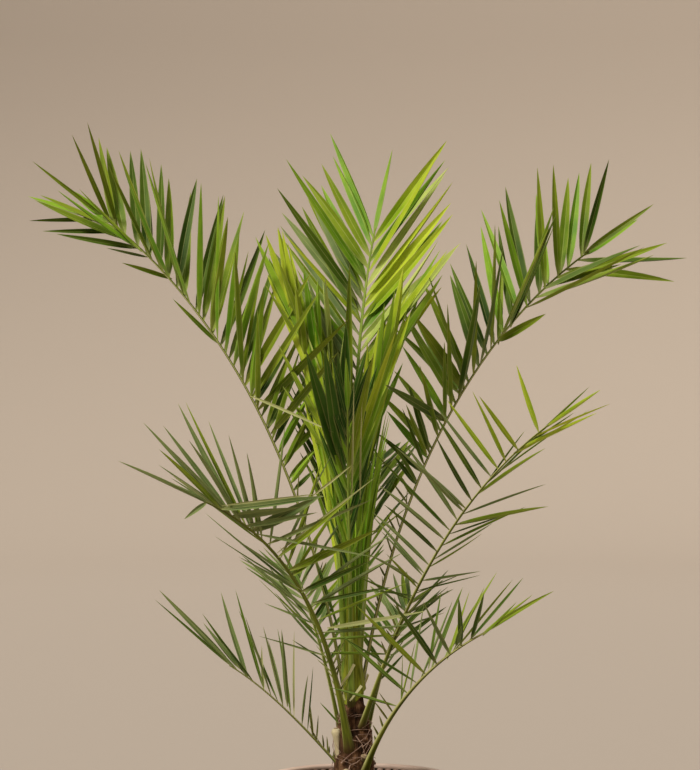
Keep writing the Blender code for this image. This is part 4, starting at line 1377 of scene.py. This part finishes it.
def build_soil():
    inner = wall_radius(SOIL_TOP) - POT_WALL - SOIL_GAP
    draw = random.Random(SEEDS["crumbs"])
    shape = bmesh.new()
    centre = shape.verts.new((0.0, 0.0, SOIL_CENTRE))
    rings = []
    for row in range(1, SOIL_ROWS + 1):
        share = row / SOIL_ROWS
        ring = []
        for angle in turns(SOIL_CORNERS):
            spot = heading(angle) * (inner * share)
            relief = sum(depth * noise.noise(spot * scale) for depth, scale in SOIL_RELIEF)
            height = SOIL_LEVEL + relief - SOIL_EDGE_DROP * share ** 6
            ring.append(shape.verts.new((spot.x, spot.y, height)))
        rings.append(ring)
    for k in range(SOIL_CORNERS):
        after = (k + 1) % SOIL_CORNERS
        shape.faces.new((centre, rings[0][k], rings[0][after]))
        for low, high in zip(rings, rings[1:]):
            shape.faces.new((low[k], high[k], high[after], low[after]))
    for index in range(CRUMBS):
        add_crumb(shape, draw, inner - CRUMB_MARGIN)
    mesh = bpy.data.meshes.new("soil_surface")
    shape.to_mesh(mesh)
    shape.free()
    mesh.shade_smooth()
    place_piece("soil_surface", mesh, fibre_material("potting_mix"), ["soil"])


def turned_piece(name, profile, steps, material, nodes=()):
    """A closed profile of (radius, height) points turned about Z."""
    count = len(profile)
    rows = []
    for k, angle in enumerate(turns(steps)):
        ring = [heading(angle) * radius + Vector((0.0, 0.0, height)) for radius, height in profile]
        rows.append((ring, [(k / steps, index / count) for index in range(count)]))
    sheaf = Sheaf()
    sheaf.loft(rows, foot=False, top=False)
    sheaf.band((steps - 1) * count, 0, count)
    make_piece(name, sheaf, material, nodes, smooth=35)


def rounded(corners, radius, steps):
    """The corners of a closed profile, each replaced by a small arc."""
    points = []
    for index, corner in enumerate(corners):
        corner = Vector(corner)
        back = Vector(corners[index - 1]) - corner
        ahead = Vector(corners[(index + 1) % len(corners)]) - corner
        reach = min(radius, back.length / 2.2, ahead.length / 2.2)
        start = corner + back.normalized() * reach
        end = corner + ahead.normalized() * reach
        for step in range(steps + 1):
            share = step / steps
            bend = start.lerp(corner, share).lerp(corner.lerp(end, share), share)
            points.append((bend.x, bend.y))
    return points


def add_cane(sheaf, index, tone, width, side):
    """One upright cane, a little wavy, with a tone of its own."""
    low, high, inset, depth = side
    outward = heading(2 * math.pi * index / CANES)
    sideways = level_side(outward)
    rows = []
    for row in range(CANE_ROWS + 1):
        height = mix(low, high, row / CANE_ROWS)
        radius = wall_radius(height) - inset
        wave = 1 + CANE_WAVE * noise.noise(Vector((index * 3.1, height * 40, 0)))
        drift = CANE_DRIFT * noise.noise(Vector((index * 7.7, height * 14, 5)))
        half = 2 * math.pi * radius / CANES * CANE_FILL * width * wave
        centre = outward * radius + Vector((0.0, 0.0, height)) + sideways * drift
        ring = [centre + sideways * (half * math.cos(turn)) + outward * (depth * math.sin(turn))
                for turn in turns(CANE_CORNERS)]
        rows.append((ring, [(tone + k / CANE_CORNERS, tone + height) for k in range(CANE_CORNERS)]))
    sheaf.loft(rows)


def build_planter():
    """Upright canes round a liner coloured dark as painted shade in the gaps, bound by a smooth rim
    and a foot ring.
    """
    wall_top = wall_radius(POT_HEIGHT)
    liner = rounded([
        (0.0005, 0.0008), (POT_FOOT_RADIUS - 0.004, 0.0008),
        (wall_top - 0.0030, POT_HEIGHT - 0.006), (wall_top - 0.0046, POT_HEIGHT - 0.006),
        (POT_FOOT_RADIUS - 0.0075, 0.010), (0.0005, 0.010),
    ], 0.0006, 2)
    turned_piece("planter_shade_liner", liner, LINER_STEPS, fibre_material("planter_shade_liner"), ["pot"])

    band = fibre_material("planter_rim")
    inner = wall_top - POT_WALL - 0.0008
    rim_foot = POT_HEIGHT - RIM_HEIGHT
    rim = rounded([
        (POT_RIM_RADIUS, POT_HEIGHT - 0.0005), (POT_RIM_RADIUS - 0.0002, rim_foot + 0.001),
        (wall_top - 0.002, rim_foot), (wall_top - 0.002, POT_HEIGHT - 0.007),
        (inner, POT_HEIGHT - 0.0068), (inner, POT_HEIGHT - 0.0005),
    ], 0.0035, 5)
    turned_piece("planter_rim", rim, TURNED_STEPS, band)
    foot_ring = rounded([
        (POT_FOOT_RADIUS + 0.0008, 0.016), (POT_FOOT_RADIUS - 0.0012, 0.0),
        (POT_FOOT_RADIUS - 0.014, 0.0), (POT_FOOT_RADIUS - 0.014, 0.004),
        (POT_FOOT_RADIUS - 0.006, 0.016),
    ], 0.003, 4)
    turned_piece("planter_foot_ring", foot_ring, TURNED_STEPS, band)

    draw = random.Random(SEEDS["canes"])
    canes = Sheaf()
    for index in range(CANES):
        tone, width = draw.random(), draw.uniform(*CANE_WIDTHS)
        for side in CANE_SIDES:
            add_cane(canes, index, tone, width, side)
    make_piece("planter_canes", canes, fibre_material("planter_cane"), smooth=60)


# ------------------------------------------------------------------ stage, light and camera

def build_stage():
    """A pale floor that curves up into a low wall all round."""
    profile = [(STAGE_FLAT, 0.0)]
    for step in range(1, STAGE_ARC_STEPS + 1):
        turn = math.pi / 2 * step / STAGE_ARC_STEPS
        profile.append((STAGE_FLAT + STAGE_CURVE * math.sin(turn),
                        STAGE_CURVE - STAGE_CURVE * math.cos(turn)))
    profile.append((STAGE_FLAT + STAGE_CURVE, STAGE_TOP))
    rows = []
    for radius, height in profile:
        ring = [heading(angle) * radius + Vector((0.0, 0.0, height))
                for angle in turns(STAGE_CORNERS)]
        rows.append((ring, [(radius, height)] * STAGE_CORNERS))
    sheaf = Sheaf()
    sheaf.loft(rows, top=False)
    mesh = sheaf_mesh("studio_floor", sheaf, 60)
    skin = Skin("studio_floor", 0.9, 0.1)
    skin.shader.inputs["Base Color"].default_value = STAGE_COLOUR
    mesh.materials.append(skin.material)
    new_object("studio_floor", mesh)


def add_sun(name, towards, strength, softness, colour):
    """Even light from the direction of towards, as soft as a large window or an open sky."""
    data = bpy.data.lights.new(name, "SUN")
    data.energy = strength
    data.angle = math.radians(softness)
    data.color = colour
    light = new_object(name, data)
    light.location = Vector(towards) * 3.0
    light.rotation_euler = Vector(towards).to_track_quat("Z", "Y").to_euler()


def build_lights():
    add_sun("key_light", (-0.55, -0.50, 0.72), 2.7, 18.0, (1.0, 0.97, 0.91))
    add_sun("fill_light", (0.42, -0.88, 0.10), 0.80, 50.0, (0.97, 0.99, 1.0))
    add_sun("top_light", (0.15, 0.30, 0.95), 0.45, 40.0, (1.0, 0.99, 0.96))
    world = bpy.data.worlds.new("studio_world")
    world.use_nodes = True
    sky = world.node_tree.nodes["Background"]
    sky.inputs["Color"].default_value = SKY_COLOUR
    sky.inputs["Strength"].default_value = SKY_STRENGTH
    bpy.context.scene.world = world


def build_camera():
    data = bpy.data.cameras.new("camera")
    data.sensor_width = SENSOR
    data.lens = FOCAL_PIXELS / PHOTO_HEIGHT * SENSOR
    data.clip_end = 60.0
    camera = new_object("camera", data)
    camera.location = (CAMERA_X, -CAMERA_DISTANCE, CAMERA_HEIGHT)
    camera.rotation_euler = (math.pi / 2, 0.0, 0.0)
    bpy.context.scene.camera = camera


build_camera()
build_lights()
build_stage()
build_foliage()
build_trunk()
build_stubs()
build_core()
build_sheath_margins()
build_threads()
build_soil()
build_planter()
bpy.context.scene.view_settings.view_transform = "Standard"
